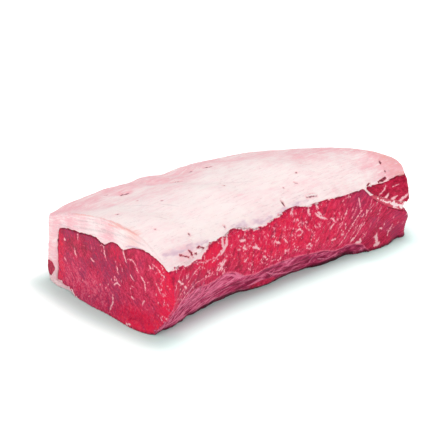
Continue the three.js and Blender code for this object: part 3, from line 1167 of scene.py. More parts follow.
@dataclass
class Muscle(MeatPiece):
    """A muscle, with the direction that its fibres run."""

    crown: float = 45.0  # mm above the board where the fibres' ends stand upright
    steep: float = 0.53  # sideways run of the fibres for each mm of height on the near half of the long side
    shallow: float = 0.84  # the same at the foot of the far half
    sweep: float = 0.041  # how fast they lie down there with height
    turn: Point = (10.0, 120.0)  # mm along the joint where the near half's run goes over into the far half's
    tilt: float = 0.25  # the lean of the fibre ends half way up the near cut
    fall: float = 0.012  # how fast they lean over below that
    side_pace: float = 1.1  # how much faster the pattern goes by along the fibres of the long side
    cut_pace: float = 1.8  # the same on the near cut
    cut_lumps: float = 0.16  # mm that lumps stand out on the cut
    side_lumps: float = 0.60  # the same on the long side
    ridge_height: float = 0.05  # mm that the fibres stand out
    side_ridges: float = 0.22  # how much more they do on the long side
    crumb_height: float = 0.04  # mm that crumbs of muscle stand out
    side_crumbs: float = 0.10  # how much more they do on the long side
    side_tears: float = 0.32  # mm that torn tags stand out on the long side
    far_face: Point = (120.0, 145.0)  # mm along the joint where the far end starts to stand out, and does
    far_bulge: float = 2.2  # mm that it stands out
    lumps: Ripple = Ripple(3, (13.0, 13.0, 11.0))
    ridges: Ripple = Ripple(11, (3.2, 14.0, 6.0))
    crumbs: Ripple = Ripple(17, (2.2, 2.2, 2.2), 1)
    tears: Ripple = Ripple(19, (5.5, 5.5, 4.5))

    def grain(self) -> np.ndarray:
        """Lays out each point's place against the fibres.

        Returns:
            The places across, along and below the fibres, in mm.
        """
        x, y, z = self.skin.points.T
        drop = self.crown - z
        near_run = self.steep * drop
        far_run = self.shallow * drop + self.sweep * drop * np.abs(drop)
        share = eased(x, *self.turn)
        side = np.stack([x + near_run * (1.0 - share) + far_run * share, z * self.side_pace, y], 1)
        low = np.maximum(drop, 0.0)
        cut = np.stack([y + (self.tilt + self.fall * low) * low, z * self.cut_pace, x], 1)
        rest = np.stack([y, x, z], 1)
        grain = np.where((self.on_side() > 0.5)[:, None], side, rest)
        return np.where((self.on_cut() > 0.5)[:, None], cut, grain)

    def relief(self) -> np.ndarray:
        """Adds up the lumps and fibre ridges of cut muscle.

        Returns:
            How far each point stands proud of the smooth form, in mm.
        """
        points = self.skin.points
        side = self.on_side()
        size = self.cut_lumps + (self.side_lumps - self.cut_lumps) * side
        ridges = (self.ridge_height + self.side_ridges * side) * self.ridges.at(self.grain())
        crumbs = (self.crumb_height + self.side_crumbs * side) * self.crumbs.at(points)
        rough = self.side_tears * side * self.tears.at(points) + ridges + crumbs
        return size * self.lumps.at(points) + rough + self.far_bulge * eased(points[:, 0], *self.far_face)


@dataclass
class LeanEye(Muscle):
    """The long eye of lean, cut at both ends and trimmed along its front."""

    node: str = "lean_eye"
    name: str = "eye_of_lean"
    slot: Slot = Slot.LEAN
    neighbours: tuple[str, ...] = ("fat_cap",)
    voxel: float = 0.75
    triangles: int = 190000
    soft_corner: Point = (-130.0, -70.0)

    # the line on the long side below which silverskin covers the muscle, as (x, z)
    crest: tuple[Point, ...] = (
        (-140, 14), (-138.5, 22), (-131.5, 29), (-120, 31), (-108, 32), (-97, 30), (-87, 30), (-77, 33),
        (-68.5, 31), (-62, 28), (-55, 23), (-41, 20), (-32, 22), (-13, 23), (10, 21.5), (25, 19),
        (38, 17.5), (48, 14), (57, 11.5), (68, 13.5), (77, 12), (88, 8), (96, -2),
    )
    # lines of fat on the near cut, as (y, z)
    cut_streaks: tuple[Streak, ...] = (
        Streak(((38.5, 41), (38, 37), (36.5, 33)), 0.55),
        Streak(((18, 38.5), (13.5, 36)), 0.5),
        Streak(((0.5, 56), (-0.5, 50), (-2, 43.5)), 0.7),
        Streak(((-22, 62), (-25, 55), (-27, 50)), 0.7),
        Streak(((-15, 42.5), (-15.8, 39), (-16.5, 35.5)), 0.65, 0.5),
        Streak(((-11.8, 31.5), (-12.2, 28.5)), 0.6, 0.2),
        Streak(((-11.5, 24.5), (-14.7, 27.5), (-18, 26)), 0.7, 0.4),
        Streak(((-14.7, 27.5), (-13.8, 31)), 0.45),
        Streak(((-31.5, 40.5), (-33.5, 38), (-35.5, 36.5)), 0.5),
        Streak(((-29, 53.5), (-34, 54.5), (-37.5, 52.5), (-39, 49), (-41.5, 45.5)), 0.45, 0.4),
        Streak(((-44, 43.5), (-48, 40)), 0.75),
        Streak(((-48, 40), (-48.8, 36.5), (-49, 31.5)), 0.6, 0.5),
        Streak(((-10.3, 15), (-13.2, 8.5), (-14.6, 2.5)), 0.65),
        Streak(((-61, 44.5), (-64.5, 40.5), (-67.5, 35)), 0.4),
        Streak(((-32, 21), (-35, 20)), 0.4, 0.2),
        Streak(((-45, 18), (-47.5, 23)), 0.55),
        Streak(((-54, 57), (-56, 55), (-55, 53.5)), 0.5),
        Streak(((-41.5, 2.5), (-37, 1)), 1.0, 0.2),
        Streak(((51.3, 45.5), (50.8, 44)), 0.9, 0.2),
        Streak(((53, 27), (51, 25)), 0.6, 0.3),
        Streak(((33, 56), (33, 50)), 0.3),
        Streak(((-58, 59), (-64, 58), (-69, 53)), 0.35, 0.3),
    )
    # lines and flecks of fat on the long side, as (x, z)
    side_streaks: tuple[Streak, ...] = (
        Streak(((-73, 61), (-74.5, 57), (-74.5, 52.5)), 1.2, 0.3),
        Streak(((-66.5, 63), (-70, 56), (-74.5, 52.5), (-79, 49.5)), 1.2, 0.6),
        Streak(((-73, 54), (-82, 50), (-90, 46.5)), 0.45),
        Streak(((-74, 43), (-78, 40.5)), 1.0, 0.2),
        Streak(((-79, 40), (-82, 37)), 0.9, 0.4),
        Streak(((-111, 54), (-98, 50), (-86, 49)), 0.2),
        Streak(((-133.5, 49), (-131, 46.5)), 0.9, 0.3),
        Streak(((-130, 45), (-127, 43.5)), 0.8, 0.2),
        Streak(((-126, 41), (-123, 38)), 0.7, 0.3),
        Streak(((-139, 33), (-124, 41), (-104, 49)), 0.08, 0.4),
        Streak(((-134, 27), (-120, 34), (-109, 37), (-93, 36.5)), 0.15, 0.4),
        Streak(((-139.5, 44), (-133, 50), (-124, 55)), 0.0, 0.4),
        Streak(((-55, 53.5), (-50, 52.5)), 1.0, 0.3),
        Streak(((-53, 47), (-50, 45)), 0.9, 0.3),
        Streak(((-42.5, 44), (-39, 43.5), (-36, 41)), 1.0, 0.4),
        Streak(((-39, 46), (-38.5, 43)), 0.6, 0.3),
        Streak(((-31.5, 33), (-29.5, 31.5)), 0.9, 0.3),
        Streak(((-18, 42), (-12.5, 39.5)), 0.8, 0.4),
        Streak(((-7, 41), (-4.5, 37.5)), 0.8, 0.4),
        Streak(((26, 59.5), (24, 54)), 0.7, 0.4),
        Streak(((31.5, 53.5), (36, 49), (44, 45)), 0.9, 0.5),
        Streak(((35, 53), (38, 50.5)), 1.0, 0.3),
        Streak(((7, 44), (11, 45.3), (14.5, 42), (12, 39.3), (8, 40)), 0.55, 0.3),
        Streak(((18, 28), (21, 29.2), (24, 26), (21.5, 24), (18, 26)), 0.5, 0.2),
        Streak(((47, 25), (53, 24)), 0.8, 0.4),
        Streak(((84.8, 53), (85.4, 47.5), (86.7, 42.5)), 0.5, 0.4),
        Streak(((93.5, 40), (92.5, 37.5)), 0.7, 0.2),
        Streak(((4, 59.5), (9, 63)), 0.7, 0.4),
        Streak(((36, 56.5), (33, 64)), 1.0, 0.5),
        Streak(((49, 44.5), (54, 39.5)), 0.6, 0.3),
        Streak(((58.5, 16), (73.5, 31.5), (87, 41.5)), 0.35, 0.3),
        Streak(((72, 14), (90, 29.5)), 0.35, 0.3),
        Streak(((105.5, 14.5), (104.5, 9.5), (103.5, 4.5)), 1.7, 0.75),
        Streak(((100, 4.5), (107, 5.5)), 1.3, 0.5),
        Streak(((72.5, 15.5), (75, 18.5)), 0.9, 0.3),
        Streak(((78, 11), (86, 11.5)), 1.5, 0.5),
        Streak(((84.5, 15), (85.5, 11)), 0.9, 0.3),
        Streak(((-53, 35), (-49, 37)), 0.6, 0.3),
        Streak(((46.5, 35), (51.5, 38.5)), 0.7, 0.4),
        Streak(((66, 43), (68.5, 45.5)), 0.6, 0.3),
        Streak(((109.5, 18), (112, 17)), 0.8, 0.3),
        Streak(((119, 8), (122, 13), (125.5, 17.5)), 0.4),
    )
    # thin pale strands of the silverskin, partly painted highlights along its folds and foot, as (x, z)
    threads: tuple[Streak, ...] = (
        Streak(((-136, 5), (-119, 8), (-101, 12), (-80, 17.5), (-60, 24)), 0.5, 0.3),
        Streak(((-134, 12), (-118, 22), (-100, 33)), 0.45, 0.4),
        Streak(((-128, 9), (-112, 16), (-96, 22.5), (-80, 27)), 0.4, 0.4),
        Streak(((-124, 3), (-104, 6), (-84, 9), (-62, 13)), 0.35, 0.4),
        Streak(((-136, 17), (-124, 28), (-114, 38)), 0.4, 0.4),
        Streak(((-77, 31), (-66, 26.5), (-57, 21)), 0.8, 0.3),
        Streak(((-64, 29), (-60, 24.5), (-55, 22.5)), 0.7, 0.3),
        Streak(((-27, 16), (-19, 11), (-10, 7.6), (2, 4.5), (13, 2.5)), 0.5, 0.3),
        Streak(((27, 7), (31, 15.5)), 0.5, 0.3),
        Streak(((36, 8), (47, 5), (60, 6.5)), 0.4, 0.3),
        Streak(((-20, 10), (-17, 15)), 0.4, 0.3),
        Streak(((-96, 24), (-93, 30)), 0.4, 0.2),
    )

    # small flecks of fat strewn over the near cut, on (y, z), and over the long side, on (x, z)
    cut_scatters: tuple[Scatter, ...] = (
        Scatter(5, 30, (-64, 6), (48, 56), (0.8, 2.6), (0.10, 0.28), 115, 22),
        Scatter(6, 24, (-76, 8), (-66, 60), (0.6, 2.0), (0.12, 0.35), 80, 40, 2),
    )
    side_scatters: tuple[Scatter, ...] = (
        Scatter(13, 12, (-86, 31), (-76, 43), (1.0, 3.2), (0.3, 0.7), 62, 30, 2),
        Scatter(7, 5, (-138, 26), (-128, 60), (0.8, 2.4), (0.10, 0.25), 66, 40, 2),
        Scatter(8, 46, (-128, 34), (-60, 60), (0.6, 2.2), (0.12, 0.40), 40, 40, 2),
        Scatter(9, 92, (-60, 24), (76, 62), (0.6, 2.4), (0.10, 0.40), 60, 45, 3),
        Scatter(10, 34, (76, 8), (152, 46), (1.2, 5.0), (0.06, 0.24), 42, 14),
        Scatter(11, 5, (-134, 22), (-78, 50), (7.0, 16.0), (0.0, 0.04), 34, 8),
        Scatter(12, 12, (56, 14), (104, 46), (6.0, 16.0), (0.0, 0.05), 44, 7),
    )
    # the top of the fat that laps under the foot of the near cut, as (y, z)
    tongue: tuple[Point, ...] = ((14, -3.0), (22, 0.0), (30, 2.0), (40, 3.4), (52, 4.6), (62, 6.0))
    fan: Point = (-163.0, -17.0)  # where the silverskin's strands would meet, as (x, z)
    fan_reach: float = 80.0  # mm from there at which a strand's breadth is its true one
    crest_height: float = 0.9  # mm that the silverskin's edge stands out
    crest_breadth: float = 2.4  # mm to either side over which it falls off
    fold_height: float = 0.9  # mm that the silverskin's folds stand out
    strand_height: float = 0.34  # mm that its strands do
    silk_sink: float = 0.4  # mm that it lies lower than the bare muscle
    silk_calm: float = 0.6  # the share of the muscle's own relief that it covers
    folds: Ripple = Ripple(29, (34.0, 9.0, 5.5))
    strands: Ripple = Ripple(31, (2.2, 26.0, 8.0))
    swells: Ripple = Ripple(37, (15, 15, 40))
    side_foot: float = 3.4  # mm that the foot of the long side swells out
    far_tuck: float = 2.0  # how much less it does at the far end
    cut_foot: float = 2.6  # mm that the foot of the near cut swells out
    foot_lumps: float = 1.6  # mm that lumps in the foot stand out
    foot_rise: Point = (13, 1)  # mm above the board where the foot starts to swell, and is full
    foot_facing: Point = (0.97, 0.85)  # how squarely it looks down where the swelling ends, and is full
    undercut: float = 2.6  # mm above the board that the painted shade under the foot reaches
    foot_shade: float = 0.6  # how dark that painted shade is
    # where the foot swells, is undercut and gets more painted shade: middle and reach on x, and how much
    # more
    foot_humps: tuple[Triple, ...] = ((-126, 34, 1.8), (44, 26, 4.0))
    undercuts: tuple[Triple, ...] = ((-72, 34, 2.6), (62, 30, 2.6))
    foot_shades: tuple[Triple, ...] = ((-80, 45, 0.35), (50, 45, 0.35))
    cut_humps: tuple[Triple, ...] = ((-46, 40, 5.0),)  # where the near cut's foot swells more, on y
    lobe: Patch = Patch((-24, 5), (16, 6))  # a lump at the foot of the long side, as (x, z)
    lobe_height: float = 1.6  # mm that it stands out
    bare: Patch = Patch((-27, 3.5), (15, 4.5))  # where it shows through the silverskin
    bare_height: float = 3.0  # mm above the silverskin's edge that this is painted as
    red_hump: Patch = Patch((-15, 54), (13, 13))  # the redder hump at the top of the near cut, as (y, z)

    def relief(self) -> np.ndarray:
        """Adds the silverskin's ridge, folds and strands and the swelling foot to the muscle's relief.

        Returns:
            How far each point stands proud of the smooth form, in mm.
        """
        x, _, z = self.skin.points.T
        below = -self.crest_distance()
        covered = eased(below, 0.0, 3.0) * self.on_side()
        ridge = self.crest_height * bell(below, 0.0, self.crest_breadth) * self.on_side()
        strands = self.strand_height * self.strands.at(self.silk())
        silk = self.fold_height * self.folds.at(self.skin.points) + strands - self.silk_sink
        lobe = self.lobe_height * self.lobe.strength(x, z)
        swell = ridge + covered * silk + lobe + self.foot_swell()
        return super().relief() * (1.0 - self.silk_calm * covered) + swell

    def foot_swell(self) -> np.ndarray:
        """Measures how far the foot swells out over the board.

        Returns:
            The swelling at each point, in mm.
        """
        x, y, z = self.skin.points.T
        on_cut = self.on_cut()
        lumps = self.foot_lumps * self.swells.at(self.skin.points)
        side = humped(x, self.side_foot, self.foot_humps) - self.far_tuck * eased(x, 136, 152) + lumps
        spread = side * (1 - on_cut) + humped(y, self.cut_foot, self.cut_humps) * on_cut
        return spread * eased(z, *self.foot_rise) * eased(-self.skin.normals[:, 2], *self.foot_facing)

    def silk(self) -> np.ndarray:
        """Lays out each point's place against the silverskin's strands, which fan out from one point.

        Returns:
            The places across, along and below the strands, in mm.
        """
        x, y, z = self.skin.points.T
        across = np.arctan2(z - self.fan[1], x - self.fan[0]) * self.fan_reach
        return np.stack([across, np.hypot(z - self.fan[1], x - self.fan[0]), y], 1)

    def crest_distance(self) -> np.ndarray:
        """Measures how far each point of the long side is above the silverskin's edge.

        Returns:
            The heights in mm, and FAR_AWAY off that side.
        """
        x, _, z = self.skin.points.T
        line = np.interp(x, *np.array(self.crest).T)
        return np.where(self.on_side() > 0.3, np.clip(z - line, -40.0, 40.0), FAR_AWAY)

    def fat_lines(self, crest: np.ndarray) -> np.ndarray:
        """Measures how far each point is from the nearest line or fleck of fat.

        Args:
            crest: How far each point is above the silverskin's edge, in mm.

        Returns:
            The distances in mm, negative inside the fat.
        """
        points = self.skin.points
        cut, side = self.on_cut() > 0.5, self.on_side() > 0.5
        on_side = nearest_streak(Face.LONG.flat(points), [*self.side_streaks, *strewn(self.side_scatters)])
        on_side = np.where(crest > -1.0, on_side, on_side + 0.6)
        on_cut = nearest_streak(Face.CUT.flat(points), [*self.cut_streaks, *strewn(self.cut_scatters)])
        return np.where(cut, on_cut, np.where(side, on_side, FAR_AWAY))

    def paint(self) -> None:
        """Paints the marbling, silverskin, edges and tints of the eye."""
        x, _, z = self.skin.points.T
        crest = np.where(self.bare.radius(x, z) < 1, self.bare_height, self.crest_distance())
        threads = nearest_streak(Face.LONG.flat(self.skin.points), self.threads)
        self.skin.mark("grain", self.grain())
        self.skin.mark("silk", self.silk())
        self.skin.mark("marbling", self.fat_lines(crest))
        self.skin.mark("crest", crest)
        self.skin.mark("threads", np.where(self.on_side() > 0.3, threads, FAR_AWAY))
        self.paint_edges(crest)
        self.paint_tints(crest)

    def paint_edges(self, crest: np.ndarray) -> None:
        """Paints shade along the seams and under the foot, the lapping fat, and shade in the torn hollows.

        Args:
            crest: How far each point is above the silverskin's edge, in mm.
        """
        x, y, z = self.skin.points.T
        cut, side = self.on_cut(), self.on_side()
        gap = self.gaps(6.0)
        # painted shadow where the foot of the long side tucks under
        undercut = humped(x, self.undercut, self.undercuts)
        foot_shadow_line = eased(z, undercut + 1.2, undercut * 0.5) * (y < -40) * (1 - cut)
        self.skin.mark("foot", foot_shadow_line * humped(x, self.foot_shade, self.foot_shades))
        # painted shade along the seams with the fat, and where that line runs unbroken
        humps = eased(y, -14, -4)
        lapped = bell(x, -106, 28)
        seam_shade = eased(gap, 1.9, 0.8) * (0.6 * side * (1 - lapped) + cut * (0.45 + 0.55 * humps))
        self.skin.mark("seam_shade", np.maximum(seam_shade, 0.9 * foot_shadow_line))
        self.skin.mark("shade_outline", np.maximum(cut * humps, foot_shadow_line))
        lappets = 3.6 * lapped - 1.6 * eased(x, 40, 90) + 1.2 * bell(x, -38, 26)
        tongue = np.where(y > self.tongue[0][0], z - np.interp(y, *np.array(self.tongue).T), FAR_AWAY)
        self.skin.mark("margin", np.where(cut > 0.5, tongue, np.where(side > 0.5, gap - lappets, FAR_AWAY)))
        # painted shade in the hollows of the torn upper part of the long side
        self.skin.mark("torn", side * eased(crest, 0, 4) * eased(x, 90, 60))

    def paint_tints(self, crest: np.ndarray) -> None:
        """Paints where the lean is redder, more violet, lighter, and netted or specked with fat.

        Args:
            crest: How far each point is above the silverskin's edge, in mm.
        """
        normals = self.skin.normals
        x, y, z = self.skin.points.T
        cut, side = self.on_cut(), self.on_side()
        # parts of the faces, from 0 to 1: the numbers are the places in mm where each starts, and is full
        front = (x < self.soft_corner[0]) & (y < self.soft_corner[1])
        corner_ridge = bell(normals[:, 0] - normals[:, 1], 0.35, 0.8) * front * eased(z, 50, 36)
        corner = eased(y, -54, -72) * cut
        foot = eased(z, 20, 7) * eased(y, -10, -40) * cut
        strip = eased(y, 50, 56) * cut
        far_side = side * eased(x, 60, 95)
        mauve = bell(x, -118, 40) * side * eased(z, 56, 44)

        near_red = bell(x, -88, 42) * side * eased(z, 38, 46)
        mid_red = (0.35 + 0.3 * bell(x, -18, 75)) * side * eased(crest, 2, 12) * eased(x, 80, 45)
        top_red = self.red_hump.strength(y, z) * cut
        reds = (0.9 * corner, 0.9 * foot, 0.7 * strip, 0.5 * top_red, 0.85 * near_red, mid_red)
        bloom = np.maximum.reduce(reds) * (1 - 0.5 * corner_ridge)
        self.skin.mark("bloom", np.clip(bloom, 0, 0.9))

        cut_purple = 0.72 * cut * (1 - corner) * (1 - foot) * (1 - 0.8 * strip)
        end = eased(normals[:, 0], 0.5, 0.8) * (x > 120)
        self.skin.mark("violet", np.maximum.reduce((cut_purple, 0.85 * far_side, 0.8 * mauve, 0.5 * end)))

        low_left = 0.074 * cut * eased(z, 34, 14) * eased(y, -20, 10)
        top_left = -0.054 * cut * eased(z, 20, 45) * eased(y, -50, -20)
        dull = 0.035 * mauve + 0.02 * far_side
        self.skin.mark("glow", low_left + top_left + 0.045 * corner_ridge + 0.06 * foot - dull)
        self.skin.mark("rolled", 0.85 * corner_ridge)
        # painted sheen on the silverskin, lighter at the near end and darker beyond the middle
        self.skin.mark("sheen", (0.02 * eased(x, -60, -110) - 0.035 * eased(x, -50, 30)) * side)

        cut_hatch = cut * (0.12 + 0.88 * eased(z, 48, 26)) * (1 - 0.85 * corner) * (1 - 0.5 * foot)
        self.skin.mark("hatch", np.clip(cut_hatch + 0.08 * mauve + 0.1 * far_side, 0, 1))
        along = (0.35 + 0.65 * eased(x, 80, 40)) * (0.1 + 0.9 * eased(x, -118, -60))
        dense = side * eased(crest, 0, 4) * along
        dense = dense + 0.25 * cut + 0.25 * foot + 0.45 * corner + 0.4 * corner_ridge
        self.skin.mark("specks", np.clip(dense, 0, 1))

    def finish(self) -> LeanFinish:
        """Gives the crimson lean."""
        return LeanFinish("lean", (0.28, 0.006, 0.034), (0.56, 0.012, 0.066), (0.72, 0.033, 0.110))


@dataclass
class EndMuscle(Muscle):
    """The short dark muscle let into the far end."""

    node: str = "end_muscle"
    name: str = "end_muscle_lean"
    slot: Slot = Slot.DARK_LEAN
    neighbours: tuple[str, ...] = ("fat_cap",)
    voxel: float = 0.6
    rounds: int = 14
    triangles: int = 40000
    slant: float = 0.22  # mm that the fibres drop for each mm along
    seam_shade_rise: Point = (47.0, 52.0)  # mm above the board where the painted seam shade starts, and is full
    # fingers of fat that reach in from the seam, as (x, z)
    streaks: tuple[Streak, ...] = (
        Streak(((122.5, 55), (119.5, 52), (115, 50)), 0.55, 0.5),
        Streak(((116, 50.2), (111, 49.5)), 0.35),
        Streak(((104, 43), (108, 48)), 0.8, 0.6),
        Streak(((107, 40), (113, 46.5)), 1.2, 0.7),
        Streak(((111, 37), (117, 43), (123, 47.5)), 1.6, 0.75),
        Streak(((120, 36), (127, 41.5), (133, 43)), 1.3, 0.75),
        Streak(((130, 34), (138, 39.5), (147, 43)), 1.3, 0.75),
        Streak(((128, 52), (137, 53)), 0.12, 0.4),
    )

    def grain(self) -> np.ndarray:
        """Gives each point's place across, along and below the fibres, which run lengthwise."""
        x, y, z = self.skin.points.T
        return np.stack([z + self.slant * (x - 120.0), x, y], 1)

    def paint(self) -> None:
        """Paints the fingers of fat and the shade along its seam with the fat on otherwise plain muscle."""
        count = len(self.skin.points)
        # painted shade along the seam with the fat, towards the top
        seam_shade = 0.7 * eased(self.gaps(), 1.5, 0.5) * eased(self.skin.points[:, 2], *self.seam_shade_rise)
        self.skin.mark("grain", self.grain())
        self.skin.mark("silk", self.grain())
        self.skin.mark("seam_shade", seam_shade)
        self.skin.mark("marbling", nearest_streak(Face.LONG.flat(self.skin.points), self.streaks))
        for name in ("crest", "threads", "margin"):
            self.skin.mark(name, np.full(count, FAR_AWAY))
        tints = ("glow", "violet", "bloom", "sheen", "rolled")
        for name in (*tints, "specks", "hatch", "torn", "shade_outline", "foot"):
            self.skin.mark(name, np.zeros(count))

    def finish(self) -> LeanFinish:
        """Gives the dark crimson lean."""
        tones = (0.17, 0.002, 0.018), (0.42, 0.004, 0.038), (0.60, 0.012, 0.062)
        return LeanFinish("dark_lean", *tones, pink=(0.68, 0.08, 0.17))


@dataclass
class SideMuscle(EndMuscle):
    """The thin strip of muscle let into the foot of the back fat, with its outer side bare."""

    node: str = "side_muscle"
    name: str = "side_muscle_lean"
    slant: float = 0.0
    streaks: tuple[Streak, ...] = ()  # none of it shows

    def finish(self) -> LeanFinish:
        """Gives the dark crimson lean of the strip."""
        return LeanFinish("strip_lean", (0.22, 0.006, 0.03), (0.44, 0.014, 0.055), (0.60, 0.04, 0.10))


@dataclass
class FatCap(MeatPiece):
    """The cap of fat over the top and down the back, with its cut edge at the near end."""

    node: str = "fat_cap"
    name: str = "cap_of_fat"
    slot: Slot = Slot.FAT
    neighbours: tuple[str, ...] = ("lean_eye", "end_muscle", "side_muscle")
    voxel: float = 0.9
    rounds: int = 30
    triangles: int = 190000

    # small dark spots and slits on the top, as (x, y)
    spots: tuple[Streak, ...] = (
        Streak(((-101, 43), (-98.5, 44), (-96, 42.2), (-92, 43.5)), 0.9, 0.5),
        Streak(((-82, 69), (-78, 70.5)), 0.8),
        Streak(((-109.5, 55), (-107, 54)), 0.6),
        Streak(((-51, 37), (-47, 32), (-44, 28)), 0.45),
        Streak(((-43, 51.7),), 0.6),
        Streak(((-21.5, 49), (-19, 47.5)), 0.8),
        Streak(((-9, 43.5), (-6.5, 40.5), (-4, 38)), 0.95, 0.6),
        Streak(((40, 51.6),), 0.8),
        Streak(((-33, -11.5), (-31, -13)), 0.65),
        Streak(((-90.5, -1.8),), 0.7),
        Streak(((-104, 14.6),), 0.5),
        Streak(((-138, -2.5), (-136, -4)), 0.6),
        Streak(((-128, -42),), 0.45),
        Streak(((-104.4, -55.3),), 0.55),
        Streak(((-67, -54.6),), 0.5),
        Streak(((37, -29),), 0.6),
        Streak(((0, -50), (1, -53)), 0.8),
        Streak(((128, -45), (129, -43)), 1.0, 0.3),
        Streak(((127, -52),), 0.5),
        Streak(((26, -38), (28, -40)), 0.35),
        Streak(((12, -40),), 0.4),
        Streak(((27, -52.5), (33, -53), (39, -54)), 0.3),
    )
    # dark slits along the front edge, as (x, z)
    slits: tuple[Streak, ...] = (
        Streak(((-123, 63.6), (-119, 62), (-117, 61)), 0.3, 0.4),
        Streak(((-112, 64), (-110.5, 61.5), (-109.5, 57.5)), 0.45, 0.4),
        Streak(((-103, 62.8), (-99.5, 62.4), (-96, 60)), 0.45, 0.4),
        Streak(((-116, 60), (-114, 59.4)), 0.25, 0.3),
        Streak(((-107, 60.5), (-105, 58.5)), 0.2, 0.3),
        Streak(((-88, 62), (-84, 61)), 0.2, 0.4),
        Streak(((114, 59.6), (119, 59.8), (124, 60.6)), 0.8, 0.5),
        Streak(((99, 60.4), (103, 61)), 0.5, 0.4),
    )
    # the grey-lilac films over the front edge, as (x, z)
    films: tuple[Streak, ...] = (
        Streak(((-136, 66.4), (-126, 66.2), (-117, 65.4), (-104, 64.4), (-91, 63.2)), 1.0, 0.4),
        Streak(((-60, 65.4), (-45, 64.2), (-31, 62.2), (-17, 61.6)), 1.1, 0.4),
        Streak(((-10, 63.5), (8, 64), (26, 66)), 0.7, 0.5),
    )
    # the mauve film that shows between fat and lean on the near cut, as (y, z)
    cut_films: tuple[Streak, ...] = (Streak(((-24, 63), (-34.7, 66.4), (-44.2, 67.6), (-52, 66)), 0.6, 0.8),)
    # faint grey-brown veins on the top, as (x, y)
    top_veins: tuple[Streak, ...] = (
        Streak(((-116, -26), (-113, -29.5), (-110, -33)), 0.3),
        Streak(((-96, -6), (-91, -14), (-88, -20)), 0.2),
        Streak(((-60, 28), (-52, 19), (-48, 12)), 0.15),
        Streak(((-122, 18), (-110, 4), (-103, -6)), 0.1),
        Streak(((-40, 4), (-22, -10), (-6, -20)), 0.1),
    )
    # the same on the cut edge, as (y, z)
    cut_veins: tuple[Streak, ...] = (
        Streak(((58, 56.5), (42, 58)), 0.4),
        Streak(((38, 61), (18, 64.4), (0, 68), (-10, 69)), 0.4),
        Streak(((2, 70), (-14.6, 71), (-32.7, 73.4), (-50, 72.3)), 0.35),
        Streak(((34, 68), (14, 72.5), (-4, 75)), 0.15),
        Streak(((30, 62), (12, 66), (-4, 69.5)), 0.15),
    )
    # a rusty line along the upper edge of the near cut, as (y, z)
    rust: tuple[Streak, ...] = (Streak(((-7, 77.2), (-18, 79.2), (-30, 79.8), (-42, 78.6)), 0.9, 0.6),)

    stain: Patch = Patch((-94, 46), (18.75, 15))  # the flushed spot on the top, as (x, y)
    pale: Patch = Patch((-95, -40), (75, 45))  # the palest part of the top, as (x, y)
    corner_glow: Patch = Patch((-146, -36), (14, 14))  # the peach corner of the near cut, as (x, y)
    torn_edge: Patch = Patch((-112, 62), (22, 11))  # where the front edge is torn and pink, as (x, z)
    # low steps along the outline of the back, as the middle and reach on x and the height
    back_steps: tuple[Triple, ...] = ((-92, 44, 2.4), (-78, 14, 1.8), (-56, 20, 2.8), (-27, 18, -3.0))
    swell_height: float = 0.55  # mm that broad swells of the fat stand out
    streak_height: float = 0.20  # mm that its streaks do
    crumb_height: float = 0.09  # mm that its crumbs do
    lump_height: float = 0.8  # mm that lumps of the front edge do
    spot_depth: float = 0.8  # mm that the dark spots lie lower
    slit_depth: float = 0.7  # mm that the slits do
    pit_slope: Point = (0.6, -0.4)  # mm from their edge where that starts, and is full
    far_bulge: float = 1.4  # mm that the far end stands out
    far_face: Point = (112, 145)  # mm along the joint where that starts, and is full
    foot_bulge: float = 3.5  # mm that the foot of the near cut stands out by the back
    drift: float = 0.08  # mm that the streaks run sideways for each mm along
    cut_pace: float = 1.6  # how much closer the streaks lie on the near cut
    swells: Ripple = Ripple(41, (42.0, 24.0, 24.0))
    streaks: Ripple = Ripple(43, (40.0, 5.0, 5.0))
    crumbs: Ripple = Ripple(47, (3.2, 2.4, 2.4), 1)
    lumps: Ripple = Ripple(48, (7.0, 5.0, 5.0))
    wander: Ripple = Ripple(53, (30.0, 18.0, 18.0))
    tatters: Ripple = Ripple(59, (9.0, 9.0, 3.0))

    def relief(self) -> np.ndarray:
        """Adds up the fat's swells, streaks, lumps and pits.

        Returns:
            How far each point stands proud of the smooth form, in mm.
        """
        points = self.skin.points
        x, y, z = points.T
        cut = self.on_cut()
        front = eased(-self.skin.normals[:, 1], 0.35, 0.7) * (1.0 - cut)
        crisp = eased(x, -150, -120)
        waves = self.swell_height * self.swells.at(points) + self.streak_height * self.streaks.at(points)
        plain = (1.0 - 0.8 * cut) * (0.25 + 0.75 * crisp) * waves
        crumbs = (1.0 - 0.5 * cut) * self.crumb_height * self.crumbs.at(points)
        near = front * (0.5 + 0.5 * bell(x, -108, 30))
        lumps = self.lump_height * near * self.lumps.at(points)
        steps = eased(y, 40, 62) * humped(x, 0.0, self.back_steps)
        foot = self.foot_bulge * cut * bell(y, 60, 20) * eased(z, 14, 3)
        bulk = self.far_bulge * eased(x, *self.far_face) + steps + foot
        spots = self.spot_depth * eased(self.spot_distance(), *self.pit_slope)
        pits = spots + self.slit_depth * eased(self.slit_distance(), *self.pit_slope)
        return plain + crumbs + lumps + bulk - pits

    def spot_distance(self) -> np.ndarray:
        """Gives the distance to the nearest dark mark, in mm, on the upper surface alone."""
        distance = nearest_streak(Face.TOP.flat(self.skin.points), self.spots)
        return np.where(self.skin.normals[:, 2] > 0.2, distance, FAR_AWAY)

    def slit_distance(self) -> np.ndarray:
        """Gives the distance to the nearest slit in the front edge, in mm."""
        distance = nearest_streak(Face.LONG.flat(self.skin.points), self.slits)
        return np.where(self.skin.points[:, 1] < -50, distance, FAR_AWAY)

    def edge_depth(self) -> np.ndarray:
        """Measures how far below the cap's upper edge each point of the near cut is.

        Returns:
            The depths in mm.
        """
        _, y, z = self.skin.points.T
        pace = 3.0
        bins = np.arange(-84.0, 86.0, pace)
        near = self.skin.points[:, 0] < CUT_END
        tops = [z[near & (np.abs(y - b) < pace)].max(initial=0.0) for b in bins]
        return np.interp(y, bins, tops) - z

